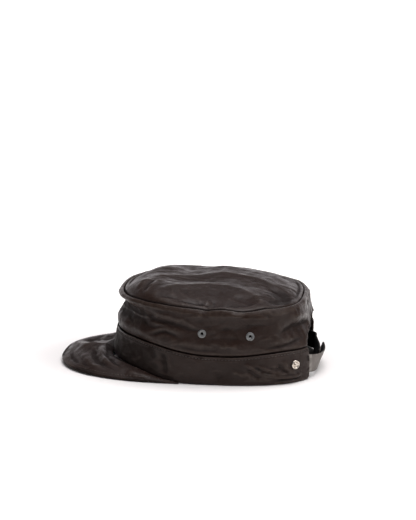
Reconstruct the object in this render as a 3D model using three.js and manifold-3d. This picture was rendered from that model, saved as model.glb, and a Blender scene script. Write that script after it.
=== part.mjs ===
// A leather work cap: soft crown, doubled band, short arched peak, and a strap across the open back.
// Millimetres, +Z up. The peak points to -Y and the wearer's left side, the near one, faces +X.
import * as THREE from 'three';
import { mergeVertices } from 'three/addons/utils/BufferGeometryUtils.js';
import Module from 'manifold-3d';

// Band, on its outer face
const BAND_HALF_WIDTH = 86;
const BAND_FRONT_REACH = 101;
const BAND_BACK_REACH = 112;
const BAND_SIDE_TOP = 28.5;
const BAND_FRONT_TOP = 38;
const BAND_BACK_TOP = 32.5;
const BAND_FRONT_LEAN = 5;
const BAND_WALL = 2.4;
const OPENING_NEAR_SIDE = 53;
const OPENING_FAR_SIDE = 57;

// Crown, on its outer face: its top seam stands in from the band
const SEAM_SIDE_INSET = 7;
const SEAM_FRONT_INSET = 11;
const SEAM_BACK_INSET = 20;
const SEAM_BACK_HEIGHT = 72.5;
const SEAM_FRONT_HEIGHT = 75;
const SEAM_LIP = 2.6;
const SEAM_DIP = 0.4;
const DOME_FRONT_RISE = 13;
const DOME_BACK_RISE = 8;
const CROWN_WALL = 1.5;
const CROWN_TUCK = 5;
const ARCH_HEIGHT = 48;
const BACK_SAG = 9;

// Peak
const PEAK_REACH = 152.5;
const PEAK_CORNER = 22;
const PEAK_CORNER_LAP = 1.6;
const PEAK_WALL = 3;
const PEAK_CORNER_WALL = 1.4;
const PEAK_LIFT = 11;
const PEAK_ARCH = 3;
const PEAK_CORNER_SHARE = 0.5;

// Strap, in two overlapping ends
const STRAP_WIDTH = 18;
const STRAP_WALL = 1.8;
const STRAP_BACK_REACH = 107;
const STRAP_NEAR_FOOT = 6.8;
const STRAP_FAR_FOOT = 1.2;
const STRAP_TUCK = 22;

// Metal parts
const EYELET_DIAMETER = 8.2;
const EYELET_BORE = 2.6;
const EYELET_BARREL = 4.4;
const EYELET_FLANGE = 0.9;
const EYELET_HEIGHT = 50.5;
const EYELET_FRONT = 1;
const EYELET_BACK = 47;
const SNAP_DIAMETER = 9;
const SNAP_POST = 3;
const SNAP_CAP = 2.2;
const SNAP_BACK_DIAMETER = 7;
const SNAP_BACK = 0.8;
const SNAP_INSET = 18;
const SNAP_NEAR_HEIGHT = 18.5;
const SNAP_FAR_HEIGHT = 11;

// Outline of the top seam
const SEAM_HALF_WIDTH = BAND_HALF_WIDTH - SEAM_SIDE_INSET;
const SEAM_FRONT_REACH = BAND_FRONT_REACH - SEAM_FRONT_INSET;
const SEAM_BACK_REACH = BAND_BACK_REACH - SEAM_BACK_INSET;

// Gap left between two pieces that meet, and how deep a flange's seat is cut into the leather
const CLEARANCE = 0.3;
const SEAT_DEPTH = 0.25;

// Where shapes begin and stop changing round the cap, as shares of the way forward or backward
const TURNS = {
  footRises: [0.22, 0.9],
  frontTopRises: [-0.1, 0.75],
  backTopRises: [0.25, 0.75],
  seamRises: [-0.2, 0.4],
  bandLeans: [0.2, 1],
  frontSwells: [0.45, 0.95],
  backSwells: [0.45, 0.95],
};

// How far the folds stay clear of a panel's foot and rim, as shares of its height or half width
const FOLD_CLEAR_OF_FOOT = 0.12;
const FOLD_CLEAR_OF_SEAM = 0.15;
const FOLD_CLEAR_OF_RIM = 0.2;

// How square the egg-shaped outlines are in front and behind, and the peak's rim and the arch
const ROUNDNESS = { front: 2.1, back: 2.85, rim: 2.55, arch: 3 };

// How finely the soft pieces are divided
const WALL_COLUMNS = 60;
const OPENING_COLUMNS = 14;
const PEAK_COLUMNS = 38;
const STRAP_COLUMNS = 12;
const STRAP_CLOSEST_COLUMNS = 0.03;
const ROUND_SIDES = 12;
const HALVINGS = 50;
const WELD_DISTANCE = 1e-4;

const wasm = await Module();
wasm.setup();

const HALF_TURN = Math.PI;
const QUARTER_TURN = HALF_TURN / 2;
const mix = (from, to, share) => from + (to - from) * share;
const clamp = (value) => Math.min(1, Math.max(0, value));
const smooth = (value) => clamp(value) ** 2 * (3 - 2 * clamp(value));
const within = (value, [from, to]) => smooth((value - from) / (to - from));
const bell = (value) => Math.exp(-value * value);

// Reads a column of a table at a position between its rows
function read(table, at, key, column) {
  const last = table.length - 1;
  if (at <= table[0][key]) return table[0][column];
  if (at >= table[last][key]) return table[last][column];
  const next = table.findIndex((row) => row[key] >= at);
  const from = table[next - 1];
  const to = table[next];
  return mix(from[column], to[column], (at - from[key]) / (to[key] - from[key]));
}

// Distance from the middle to an egg-shaped outline, at an angle round it from the near side
function outline(angle, halfWidth, frontReach, backReach) {
  const across = Math.abs(Math.cos(angle)) / halfWidth;
  const front = Math.sin(angle) < 0;
  const along = Math.abs(Math.sin(angle)) / (front ? frontReach : backReach);
  const power = front ? ROUNDNESS.front : ROUNDNESS.back;
  return (across ** power + along ** power) ** (-1 / power);
}
const bandRadius = (angle) => outline(angle, BAND_HALF_WIDTH, BAND_FRONT_REACH, BAND_BACK_REACH);
const seamRadius = (angle) => outline(angle, SEAM_HALF_WIDTH, SEAM_FRONT_REACH, SEAM_BACK_REACH);

// Angle between two others at which a test stops holding
function angleWhile(from, to, holds) {
  let low = from;
  let high = to;
  for (let step = 0; step < HALVINGS; step += 1) {
    const middle = (low + high) / 2;
    if (holds(middle)) low = middle;
    else high = middle;
  }
  return (low + high) / 2;
}

// Angle at which the back of the band's outline is so far to the near side of the middle
const angleAtX = (x) => angleWhile(0, HALF_TURN, (angle) => bandRadius(angle) * Math.cos(angle) > x);
const OPENING_NEAR = angleAtX(OPENING_NEAR_SIDE);
const OPENING_FAR = angleAtX(-OPENING_FAR_SIDE);
const OPENING_HALF_WIDTH = (OPENING_NEAR_SIDE + OPENING_FAR_SIDE) / 2;
const OPENING_MIDDLE = OPENING_NEAR_SIDE - OPENING_HALF_WIDTH;

// How far an angle is from the middle of the opening to its end, 1 or more beside it
function besideOpening(angle) {
  if (Math.sin(angle) <= 0) return 1;
  return Math.abs(bandRadius(angle) * Math.cos(angle) - OPENING_MIDDLE) / OPENING_HALF_WIDTH;
}

// How far forward an angle is, as a share of the band's front reach, and backward of its back reach
const forward = (angle) => (-Math.sin(angle) * bandRadius(angle)) / BAND_FRONT_REACH;
const backward = (angle) => (Math.sin(angle) * bandRadius(angle)) / BAND_BACK_REACH;

// Heights of the band's two edges and of the top seam
const bandFoot = (angle) => PEAK_LIFT * within(forward(angle), TURNS.footRises);
function bandTop(angle) {
  const front = (BAND_FRONT_TOP - BAND_SIDE_TOP) * within(forward(angle), TURNS.frontTopRises);
  const back = (BAND_BACK_TOP - BAND_SIDE_TOP) * within(backward(angle), TURNS.backTopRises);
  return BAND_SIDE_TOP + front + back;
}
function seamHeight(angle) {
  return mix(SEAM_BACK_HEIGHT, SEAM_FRONT_HEIGHT, within(forward(angle), TURNS.seamRises));
}

// Angles of the columns: evenly round the wall, then closer together towards the opening's ends
const wallAngles = [];
for (let i = 0; i <= WALL_COLUMNS; i += 1) {
  wallAngles.push(mix(OPENING_FAR - 2 * HALF_TURN, OPENING_NEAR, i / WALL_COLUMNS));
}
const openingAngles = [];
for (let i = 1; i < OPENING_COLUMNS; i += 1) {
  const share = Math.cos((HALF_TURN * i) / OPENING_COLUMNS);
  openingAngles.push(angleAtX(OPENING_MIDDLE + OPENING_HALF_WIDTH * share));
}
const ringAngles = [...wallAngles, ...openingAngles];

// Open surface of rows of points, facing out where columns run anticlockwise and rows run upward
function sheet(rows, closed) {
  const columns = rows[0].length;
  const positions = rows.flat().flatMap((point) => point.toArray());
  const faces = [];
  const spans = closed ? columns : columns - 1;
  for (let row = 0; row + 1 < rows.length; row += 1) {
    for (let i = 0; i < spans; i += 1) {
      const a = row * columns + i;
      const b = row * columns + ((i + 1) % columns);
      const c = b + columns;
      const d = a + columns;
      if ((row + i) % 2) faces.push([a, b, d], [b, c, d]);
      else faces.push([a, b, c], [a, c, d]);
    }
  }
  return { positions, faces };
}

// Closes a ring's last row with a fan round one middle point
function addMiddle(surface, columns, middle) {
  const centre = surface.positions.length / 3;
  const first = centre - columns;
  surface.positions.push(...middle.toArray());
  for (let i = 0; i < columns; i += 1) {
    surface.faces.push([first + i, first + ((i + 1) % columns), centre]);
  }
  return surface;
}

// Average direction that each point of a surface faces
function normalsOf(surface) {
  const geometry = new THREE.BufferGeometry();
  geometry.setAttribute('position', new THREE.Float32BufferAttribute(surface.positions, 3));
  geometry.setIndex(surface.faces.flat());
  geometry.computeVertexNormals();
  return geometry.getAttribute('normal');
}

// Gives a surface its wall: an inner copy moved by inward(direction, index), and faces along the edges
function thicken(surface, inward) {
  const normals = normalsOf(surface);
  const count = surface.positions.length / 3;
  const positions = [...surface.positions];
  for (let i = 0; i < count; i += 1) {
    const point = new THREE.Vector3().fromArray(surface.positions, i * 3);
    const facing = new THREE.Vector3().fromBufferAttribute(normals, i);
    positions.push(...point.add(inward(facing, i)).toArray());
  }
  const faces = [...surface.faces];
  const edges = new Set();
  surface.faces.forEach(([a, b, c]) => {
    faces.push([a + count, c + count, b + count]);
    [[a, b], [b, c], [c, a]].forEach(([from, to]) => edges.add(`${from} ${to}`));
  });
  edges.forEach((edge) => {
    const [from, to] = edge.split(' ').map(Number);
    if (edges.has(`${to} ${from}`)) return;
    faces.push([to, from, from + count], [to, from + count, to + count]);
  });
  const geometry = new THREE.BufferGeometry();
  geometry.setAttribute('position', new THREE.Float32BufferAttribute(positions, 3));
  geometry.setIndex(faces.flat());
  return geometry;
}

// Walls that follow the surface, and that stay level where the foot is flat
const alongNormal = (wall) => (facing) => facing.clone().multiplyScalar(-wall);
const levelWall = (wall) => (facing) => new THREE.Vector3(facing.x, facing.y, 0).setLength(-wall);

const at = (angle, radius, height) => {
  return new THREE.Vector3(radius * Math.cos(angle), radius * Math.sin(angle), height);
};

// Solid of a geometry, for cutting, and back
function solidOf(geometry) {
  const bare = geometry.index ? geometry.toNonIndexed() : geometry.clone();
  bare.deleteAttribute('normal');
  bare.deleteAttribute('uv');
  const merged = mergeVertices(bare, WELD_DISTANCE);
  const vertProperties = merged.getAttribute('position').array;
  const triVerts = new Uint32Array(merged.index.array);
  return new wasm.Manifold(new wasm.Mesh({ numProp: 3, vertProperties, triVerts }));
}
function geometryOf(solid) {
  const mesh = solid.getMesh();
  const geometry = new THREE.BufferGeometry();
  geometry.setAttribute('position', new THREE.BufferAttribute(mesh.vertProperties, 3));
  geometry.setIndex(new THREE.BufferAttribute(mesh.triVerts, 1));
  return geometry;
}
function cut(geometry, tools) {
  return geometryOf(tools.reduce((solid, tool) => solid.subtract(solidOf(tool)), solidOf(geometry)));
}

// Round piece from its profile of radius and height, turned so that its height runs along +Z
function turned(profile) {
  const points = profile.map(([radius, height]) => new THREE.Vector2(radius, height));
  return new THREE.LatheGeometry(points, ROUND_SIDES).rotateX(QUARTER_TURN);
}

// Place on a surface: where a point is, with +Z along the direction that the surface faces there
function seatAt(surface, angle, height) {
  const turn = 0.004;
  const rise = 1;
  const point = surface(angle, height);
  const sideways = surface(angle + turn, height).sub(surface(angle - turn, height));
  const upward = surface(angle, height + rise).sub(surface(angle, height - rise));
  const facing = sideways.cross(upward).normalize();
  const lie = new THREE.Quaternion().setFromUnitVectors(new THREE.Vector3(0, 0, 1), facing);
  return new THREE.Matrix4().compose(point, lie, new THREE.Vector3(1, 1, 1));
}

// Leans the band's outer face inward at the front as it rises
function bandFace(angle, share) {
  return bandRadius(angle) - BAND_FRONT_LEAN * share * within(forward(angle), TURNS.bandLeans);
}
const bandLevels = [0, 0.35, 0.7, 1];
function bandGeometry() {
  const rows = bandLevels.map((share) =>
    wallAngles.map((angle) => {
      return at(angle, bandFace(angle, share), mix(bandFoot(angle), bandTop(angle), share));
    }),
  );
  return thicken(sheet(rows, false), levelWall(BAND_WALL));
}

// How far the side panel swells past the straight line from band to seam, as shares of the seam's
// half width, on its way up: over the band, at its waist, at the roll under the seam
const swellTable = [
  { height: 0.0, side: 0.0, front: 0.0, back: 0.0 },
  { height: 0.07, side: 0.028, front: 0.023, back: 0.014 },
  { height: 0.2, side: 0.048, front: 0.037, back: 0.026 },
  { height: 0.4, side: 0.042, front: 0.008, back: 0.028 },
  { height: 0.56, side: 0.034, front: -0.018, back: 0.024 },
  { height: 0.72, side: 0.036, front: 0.014, back: 0.026 },
  { height: 0.86, side: 0.046, front: 0.046, back: 0.042 },
  { height: 0.95, side: 0.036, front: 0.036, back: 0.034 },
  { height: 1.0, side: 0.016, front: 0.016, back: 0.016 },
];
function swell(angle, height) {
  const side = read(swellTable, height, 'height', 'side');
  const front = read(swellTable, height, 'height', 'front');
  const back = read(swellTable, height, 'height', 'back');
  const frontShare = within(forward(angle), TURNS.frontSwells);
  const backShare = within(backward(angle), TURNS.backSwells);
  return SEAM_HALF_WIDTH * (side + (front - side) * frontShare + (back - side) * backShare);
}

// Dents and folds of the side panel: the line that each follows, by turn from the near side in
// degrees and by share of the panel's height, with its width as a share of that height and its
// depth as a share of the seam's half width
const sideFolds = [
  { turn: -62, height: 0.82, toTurn: -12, toHeight: 0.44, width: 0.16, depth: 0.034 },
  { turn: -75, height: 0.55, toTurn: -40, toHeight: 0.62, width: 0.2, depth: 0.03 },
  { turn: -12, height: 0.28, toTurn: -32, toHeight: 0.3, width: 0.12, depth: 0.018 },
  { turn: 46, height: 0.24, toTurn: 62, toHeight: 0.38, width: 0.2, depth: 0.065 },
  { turn: 50, height: 0.72, toTurn: 60, toHeight: 0.68, width: 0.16, depth: -0.018 },
  { turn: 36, height: 0.14, toTurn: 50, toHeight: 0.2, width: 0.1, depth: 0.02 },
  { turn: -190, height: 0.66, toTurn: -140, toHeight: 0.45, width: 0.18, depth: 0.03 },
  { turn: -230, height: 0.4, toTurn: -212, toHeight: 0.6, width: 0.2, depth: 0.03 },
];
const DEGREE = HALF_TURN / 180;
function sideFold(angle, height) {
  let depth = 0;
  const turn = (angle > QUARTER_TURN ? angle - 2 * HALF_TURN : angle) / DEGREE;
  const heightTurn = (SEAM_BACK_HEIGHT - BAND_SIDE_TOP) / BAND_HALF_WIDTH / DEGREE;
  sideFolds.forEach((fold) => {
    const from = new THREE.Vector2(fold.turn / heightTurn, fold.height);
    const to = new THREE.Vector2(fold.toTurn / heightTurn, fold.toHeight);
    const point = new THREE.Vector2(turn / heightTurn, height);
    const along = to.clone().sub(from);
    const share = clamp(point.clone().sub(from).dot(along) / along.lengthSq());
    depth += fold.depth * bell(point.distanceTo(from.addScaledVector(along, share)) / fold.width);
  });
  const clear = smooth(height / FOLD_CLEAR_OF_FOOT) * smooth((1 - height) / FOLD_CLEAR_OF_SEAM);
  return SEAM_HALF_WIDTH * depth * clear;
}

// Side panel's outer face. It stands inside the band up to the band's top, then swells over it.
const tuckRadius = (angle) => bandFace(angle, 1) - BAND_WALL - CLEARANCE;
function sideRadius(angle, z) {
  const height = (z - bandTop(angle)) / (seamHeight(angle) - bandTop(angle));
  if (height <= 0) return tuckRadius(angle);
  const sag = BACK_SAG * clamp(1 - besideOpening(angle) ** 2) * (1 - height);
  const straight = mix(tuckRadius(angle), seamRadius(angle), height);
  return straight + swell(angle, height) - sag - sideFold(angle, height);
}
function sideFoot(angle) {
  const tucked = bandTop(angle) - CROWN_TUCK;
  const aside = clamp(besideOpening(angle)) ** ROUNDNESS.arch;
  return mix(tucked, ARCH_HEIGHT, (1 - aside) ** (1 / ROUNDNESS.arch));
}
const LEDGE_SHARE = 0.06;
const sideLevels = [0, 0.07, 0.18, 0.32, 0.46, 0.6, 0.73, 0.85, 0.94, 1];
function crownSideGeometry() {
  const facePoint = (angle, z) => at(angle, sideRadius(angle, z), z);
  const ledge = (angle) => {
    return Math.max(bandTop(angle), mix(sideFoot(angle), seamHeight(angle), LEDGE_SHARE));
  };
  const rows = [ringAngles.map((angle) => facePoint(angle, sideFoot(angle)))];
  sideLevels.forEach((share) => {
    rows.push(ringAngles.map((angle) => facePoint(angle, mix(ledge(angle), seamHeight(angle), share))));
  });
  rows.push(ringAngles.map((angle) => at(angle, seamRadius(angle), seamHeight(angle) - SEAM_DIP)));
  return thicken(sheet(rows, true), alongNormal(CROWN_WALL));
}

// Folds of the top panel, as lines across it: sideways as shares of the seam's half width and
// lengthwise of its front reach, with width and rise as shares of the half width
const topFolds = [
  { x: 0.36, y: -0.82, toX: 0.34, toY: 0.4, width: 0.14, rise: 0.026 },
  { x: 0.36, y: 0.4, toX: 0.62, toY: 0.8, width: 0.12, rise: 0.022 },
  { x: -0.3, y: 0.2, toX: 0.05, toY: 0.95, width: 0.16, rise: 0.024 },
  { x: 0.3, y: 0.62, toX: 0.42, toY: 0.85, width: 0.14, rise: -0.03 },
  { x: 0.72, y: -0.15, toX: 0.78, toY: 0.12, width: 0.14, rise: -0.026 },
  { x: 0.02, y: -0.5, toX: 0.02, toY: 0.2, width: 0.24, rise: -0.02 },
  { x: -0.55, y: -0.6, toX: -0.5, toY: 0.5, width: 0.16, rise: 0.022 },
];
function topFold(x, y) {
  let rise = 0;
  topFolds.forEach((fold) => {
    const from = new THREE.Vector2(fold.x, fold.y);
    const along = new THREE.Vector2(fold.toX, fold.toY).sub(from);
    const point = new THREE.Vector2(x / SEAM_HALF_WIDTH, y / SEAM_FRONT_REACH);
    const share = clamp(point.clone().sub(from).dot(along) / along.lengthSq());
    rise += fold.rise * bell(point.distanceTo(from.addScaledVector(along, share)) / fold.width);
  });
  return SEAM_HALF_WIDTH * rise;
}

// Top panel: a lip turned down inside the side panel's roll, then a dome that is fullest at its edge
const FULLNESS = { front: 9, back: 4, backOnset: 3 };
const topRings = [0.97, 0.92, 0.84, 0.73, 0.59, 0.42, 0.22];
const middleHeight = (SEAM_BACK_HEIGHT + SEAM_FRONT_HEIGHT) / 2;
function topPoint(angle, ring) {
  const radius = (seamRadius(angle) - CLEARANCE) * ring;
  const edge = mix(middleHeight, seamHeight(angle), ring) - SEAM_DIP;
  const across = radius * Math.cos(angle);
  const along = radius * Math.sin(angle);
  const folds = topFold(across, along) * smooth((1 - ring) / FOLD_CLEAR_OF_RIM);
  const back = within(along / SEAM_FRONT_REACH, [-1, 1]) ** FULLNESS.backOnset;
  const fullness = mix(FULLNESS.front, FULLNESS.back, back);
  const rise = mix(DOME_FRONT_RISE, DOME_BACK_RISE, back) * (1 - ring ** fullness);
  return at(angle, radius, edge + rise + folds);
}
function crownTopGeometry() {
  const lip = ringAngles.map((angle) => {
    return at(angle, seamRadius(angle) - CLEARANCE, seamHeight(angle) - SEAM_DIP - SEAM_LIP);
  });
  const rows = [lip, ringAngles.map((angle) => topPoint(angle, 1))];
  topRings.forEach((ring) => rows.push(ringAngles.map((angle) => topPoint(angle, ring))));
  const surface = addMiddle(sheet(rows, true), ringAngles.length, topPoint(0, 0));
  return thicken(surface, alongNormal(CROWN_WALL));
}

// Peak: its root stands against the band's face, its rim lies on the table
const cornerAngle = Math.asin(-PEAK_CORNER / bandRadius(-PEAK_CORNER / BAND_HALF_WIDTH));
const rimHalfWidth = bandRadius(cornerAngle) * Math.cos(cornerAngle) + CLEARANCE + PEAK_CORNER_LAP;
const rimReach = PEAK_REACH - PEAK_CORNER;
function rimPoint(share) {
  const angle = -HALF_TURN * share;
  const across = Math.abs(Math.cos(angle)) / rimHalfWidth;
  const along = Math.abs(Math.sin(angle)) / rimReach;
  const radius = (across ** ROUNDNESS.rim + along ** ROUNDNESS.rim) ** (-1 / ROUNDNESS.rim);
  return at(angle, radius, 0).setY(radius * Math.sin(angle) - PEAK_CORNER);
}
function rootPoint(share) {
  const angle = mix(cornerAngle, -HALF_TURN - cornerAngle, share);
  return at(angle, bandRadius(angle) + CLEARANCE, bandFoot(angle));
}
function peakWall(share) {
  const fromCorner = Math.sin(HALF_TURN * share) / PEAK_CORNER_SHARE;
  return mix(PEAK_CORNER_WALL, PEAK_WALL, smooth(fromCorner));
}
const peakRows = [0, 0.1, 0.24, 0.4, 0.56, 0.72, 0.86, 1];
function peakGeometry() {
  const shares = Array.from({ length: PEAK_COLUMNS + 1 }, (_, i) => 1 - i / PEAK_COLUMNS);
  const drops = [];
  const rows = [...peakRows].reverse().map((out) =>
    shares.map((share) => {
      const point = rootPoint(share).lerp(rimPoint(share), out);
      const arch = PEAK_ARCH * Math.sin(HALF_TURN * out) * Math.sin(HALF_TURN * share);
      drops.push(peakWall(share));
      return point.setZ(point.z + peakWall(share) + arch);
    }),
  );
  return thicken(sheet(rows, false), (facing, index) => new THREE.Vector3(0, 0, -drops[index]));
}

// Strap ends, by the course of their lower edge past the opening: sideways as shares of the
// opening's half width, backward from the band's end as shares of the way to the strap's reach, foot
// as shares of the strap's width, and the outward lean of the top in degrees
const nearCourse = [
  { side: 0.86, back: 0.545, foot: 0.32, lean: 4 },
  { side: 0.68, back: 0.935, foot: 0.22, lean: 10 },
  { side: 0.5, back: 1.065, foot: 0.12, lean: 15 },
  { side: 0.28, back: 1.078, foot: 0.05, lean: 19 },
  { side: 0.04, back: 1.0, foot: 0.03, lean: 20 },
  { side: -0.24, back: 0.87, foot: 0.05, lean: 19 },
];
const farCourse = [
  { side: -0.88, back: 0.465, foot: 0.06, lean: 2 },
  { side: -0.68, back: 0.465, foot: 0.04, lean: 6 },
  { side: -0.45, back: 0.562, foot: 0.03, lean: 10 },
  { side: -0.22, back: 0.669, foot: 0.04, lean: 14 },
  { side: 0.04, back: 0.766, foot: 0.03, lean: 16 },
  { side: 0.24, back: 0.805, foot: 0.05, lean: 16 },
];
const strapLevels = [0, 0.5, 1];

// Angle inside the band that is so far along it from the opening, on the near or the far side
function insideFrom(opening, distance, direction) {
  const end = at(opening, bandRadius(opening), 0);
  const holds = (angle) => at(angle, bandRadius(angle), 0).distanceTo(end) < distance;
  return angleWhile(opening, opening + direction * QUARTER_TURN, holds);
}

// Strap end from inside the band, past its end, and along its course
function strapGeometry(opening, direction, bandFootHeight, course) {
  const stop = insideFrom(opening, STRAP_TUCK, direction);
  const hidden = ringAngles
    .map((angle) => (Math.abs(angle - opening) > HALF_TURN ? angle + 2 * HALF_TURN : angle))
    .filter((angle) => (angle - opening) * direction >= 0)
    .filter((angle) => (stop - angle) * direction > STRAP_CLOSEST_COLUMNS);
  const tuckAngles = [stop, ...hidden.sort((a, b) => (b - a) * direction)];
  const inside = tuckAngles.map((angle) => ({
    point: at(angle, bandRadius(angle) - BAND_WALL - CLEARANCE, bandFootHeight),
    out: at(angle, 1, 0),
    lean: 0,
  }));
  const start = inside[inside.length - 1].point;
  const points = course.map((row) => {
    return new THREE.Vector3(
      row.side * OPENING_HALF_WIDTH,
      mix(start.y, STRAP_BACK_REACH, row.back),
      row.foot * STRAP_WIDTH,
    );
  });
  const curve = new THREE.CatmullRomCurve3([start, ...points]);
  const sideKeyed = [...course].sort((a, b) => a.side - b.side);
  const columns = [...inside];
  for (let i = 1; i <= STRAP_COLUMNS; i += 1) {
    const point = curve.getPoint(i / STRAP_COLUMNS);
    const tangent = curve.getTangent(i / STRAP_COLUMNS).multiplyScalar(-direction);
    const out = new THREE.Vector3(tangent.y, -tangent.x, 0).normalize();
    const lean = read(sideKeyed, point.x / OPENING_HALF_WIDTH, 'side', 'lean') * DEGREE;
    columns.push({ point, out, lean });
  }
  if (direction > 0) columns.reverse();
  const rows = strapLevels.map((level) =>
    columns.map(({ point, out, lean }) => {
      const up = new THREE.Vector3(0, 0, Math.cos(lean)).addScaledVector(out, Math.sin(lean));
      return point.clone().addScaledVector(up, level * STRAP_WIDTH);
    }),
  );
  return thicken(sheet(rows, false), alongNormal(STRAP_WALL));
}

// Eyelet: a washer on the leather with its barrel through the wall
const eyeletFace = CLEARANCE - SEAT_DEPTH;
function eyeletGeometry() {
  const end = -CROWN_WALL - EYELET_FLANGE;
  return turned([
    [EYELET_BORE / 2, end],
    [EYELET_BARREL / 2, end],
    [EYELET_BARREL / 2, eyeletFace],
    [EYELET_DIAMETER / 2, eyeletFace],
    [EYELET_DIAMETER / 2, eyeletFace + EYELET_FLANGE / 2],
    [EYELET_BARREL / 2, eyeletFace + EYELET_FLANGE],
    [EYELET_BORE / 2, eyeletFace + EYELET_FLANGE / 2],
    [EYELET_BORE / 2, end],
  ]);
}
const CUT_MARGIN = 3;
function eyeletHole() {
  return turned([
    [0, -CROWN_WALL - CUT_MARGIN],
    [EYELET_BARREL / 2 + CLEARANCE, -CROWN_WALL - CUT_MARGIN],
    [EYELET_BARREL / 2 + CLEARANCE, -SEAT_DEPTH],
    [EYELET_DIAMETER / 2 + CLEARANCE, -SEAT_DEPTH],
    [EYELET_DIAMETER / 2 + CLEARANCE, CUT_MARGIN],
    [0, CUT_MARGIN],
  ]);
}

// Snap: a ringed cap outside the band, a post through band and strap, and a plain disc behind. The
// rings of its cap are shares of the cap's radius and height.
const snapStack = BAND_WALL + CLEARANCE + STRAP_WALL;
const snapFace = CLEARANCE - SEAT_DEPTH;
const snapBackFace = SEAT_DEPTH - CLEARANCE - snapStack;
const snapRings = [
  { radius: 1, height: 0.4 },
  { radius: 0.8, height: 0.7 },
  { radius: 0.62, height: 0.4 },
  { radius: 0.48, height: 0.4 },
  { radius: 0.38, height: 0.85 },
];
function snapGeometry() {
  const radius = SNAP_DIAMETER / 2;
  return turned([
    [0, snapBackFace - SNAP_BACK],
    [SNAP_BACK_DIAMETER / 2, snapBackFace - SNAP_BACK],
    [SNAP_BACK_DIAMETER / 2, snapBackFace],
    [SNAP_POST / 2, snapBackFace],
    [SNAP_POST / 2, snapFace],
    [radius, snapFace],
    ...snapRings.map((ring) => [radius * ring.radius, snapFace + SNAP_CAP * ring.height]),
    [0, snapFace + SNAP_CAP],
  ]);
}
function snapHole() {
  return turned([
    [0, -snapStack - CUT_MARGIN],
    [SNAP_BACK_DIAMETER / 2 + CLEARANCE, -snapStack - CUT_MARGIN],
    [SNAP_BACK_DIAMETER / 2 + CLEARANCE, SEAT_DEPTH - snapStack],
    [SNAP_POST / 2 + CLEARANCE, SEAT_DEPTH - snapStack],
    [SNAP_POST / 2 + CLEARANCE, -SEAT_DEPTH],
    [SNAP_DIAMETER / 2 + CLEARANCE, -SEAT_DEPTH],
    [SNAP_DIAMETER / 2 + CLEARANCE, CUT_MARGIN],
    [0, CUT_MARGIN],
  ]);
}

// Seats of the eyelets, near and far side alike, and of the snaps
const sideFace = (angle, height) => at(angle, sideRadius(angle, height), height);
const bandOuter = (angle, height) => at(angle, bandRadius(angle), height);
const angleAtY = (y) => {
  return angleWhile(-QUARTER_TURN, QUARTER_TURN, (angle) => sideFace(angle, EYELET_HEIGHT).y < y);
};
const eyelets = {};
Object.entries({ front: EYELET_FRONT, back: EYELET_BACK }).forEach(([name, y]) => {
  const angle = angleAtY(y);
  eyelets[`eyelet_near_${name}`] = seatAt(sideFace, angle, EYELET_HEIGHT);
  eyelets[`eyelet_far_${name}`] = seatAt(sideFace, -HALF_TURN - angle, EYELET_HEIGHT);
});
const nearSnap = seatAt(bandOuter, insideFrom(OPENING_NEAR, SNAP_INSET, -1), SNAP_NEAR_HEIGHT);
const farSnap = seatAt(bandOuter, insideFrom(OPENING_FAR, SNAP_INSET, 1), SNAP_FAR_HEIGHT);

// Assembly
const cap = new THREE.Group();
const LEATHER = { color: 0x1d1a19, roughness: 0.5, metalness: 0 };
const STRAP_LEATHER = { color: 0x55514e, roughness: 0.6, metalness: 0 };
const WASHER_METAL = { color: 0x8a8d8c, roughness: 0.55, metalness: 0.6 };
const SNAP_METAL = { color: 0xc9c2b4, roughness: 0.3, metalness: 1 };
function add(name, geometry, finish, seat = new THREE.Matrix4()) {
  const mesh = new THREE.Mesh(geometry, new THREE.MeshStandardMaterial(finish));
  mesh.name = name;
  mesh.applyMatrix4(seat);
  cap.add(mesh);
}
const nearCut = snapHole().applyMatrix4(nearSnap);
const farCut = snapHole().applyMatrix4(farSnap);
const eyeletCuts = Object.values(eyelets).map((seat) => eyeletHole().applyMatrix4(seat));
add('crown_top', crownTopGeometry(), LEATHER);
add('crown_side', cut(crownSideGeometry(), eyeletCuts), LEATHER);
add('band', cut(bandGeometry(), [nearCut, farCut]), LEATHER);
add('peak', peakGeometry(), LEATHER);
const strapNear = strapGeometry(OPENING_NEAR, -1, STRAP_NEAR_FOOT, nearCourse);
const strapFar = strapGeometry(OPENING_FAR, 1, STRAP_FAR_FOOT, farCourse);
add('strap_near', cut(strapNear, [nearCut]), STRAP_LEATHER);
add('strap_far', cut(strapFar, [farCut]), STRAP_LEATHER);
add('snap_near', snapGeometry(), SNAP_METAL, nearSnap);
add('snap_far', snapGeometry(), SNAP_METAL, farSnap);
Object.entries(eyelets).forEach(([name, seat]) => add(name, eyeletGeometry(), WASHER_METAL, seat));

// The origin is the middle of the footprint, on the surface that the cap rests on
const reach = new THREE.Box3().setFromObject(cap);
const middle = reach.getCenter(new THREE.Vector3());
cap.position.set(-middle.x, -middle.y, -reach.min.z);

export default cap;
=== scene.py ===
# A leather work cap: soft crown, doubled band, short arched peak, and a strap across the open back.
# Shapes are worked out in millimetres about the head oval's centre, and placed in metres.
import math

import bmesh
import bpy
import numpy as np
from mathutils import Matrix, Vector


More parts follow.
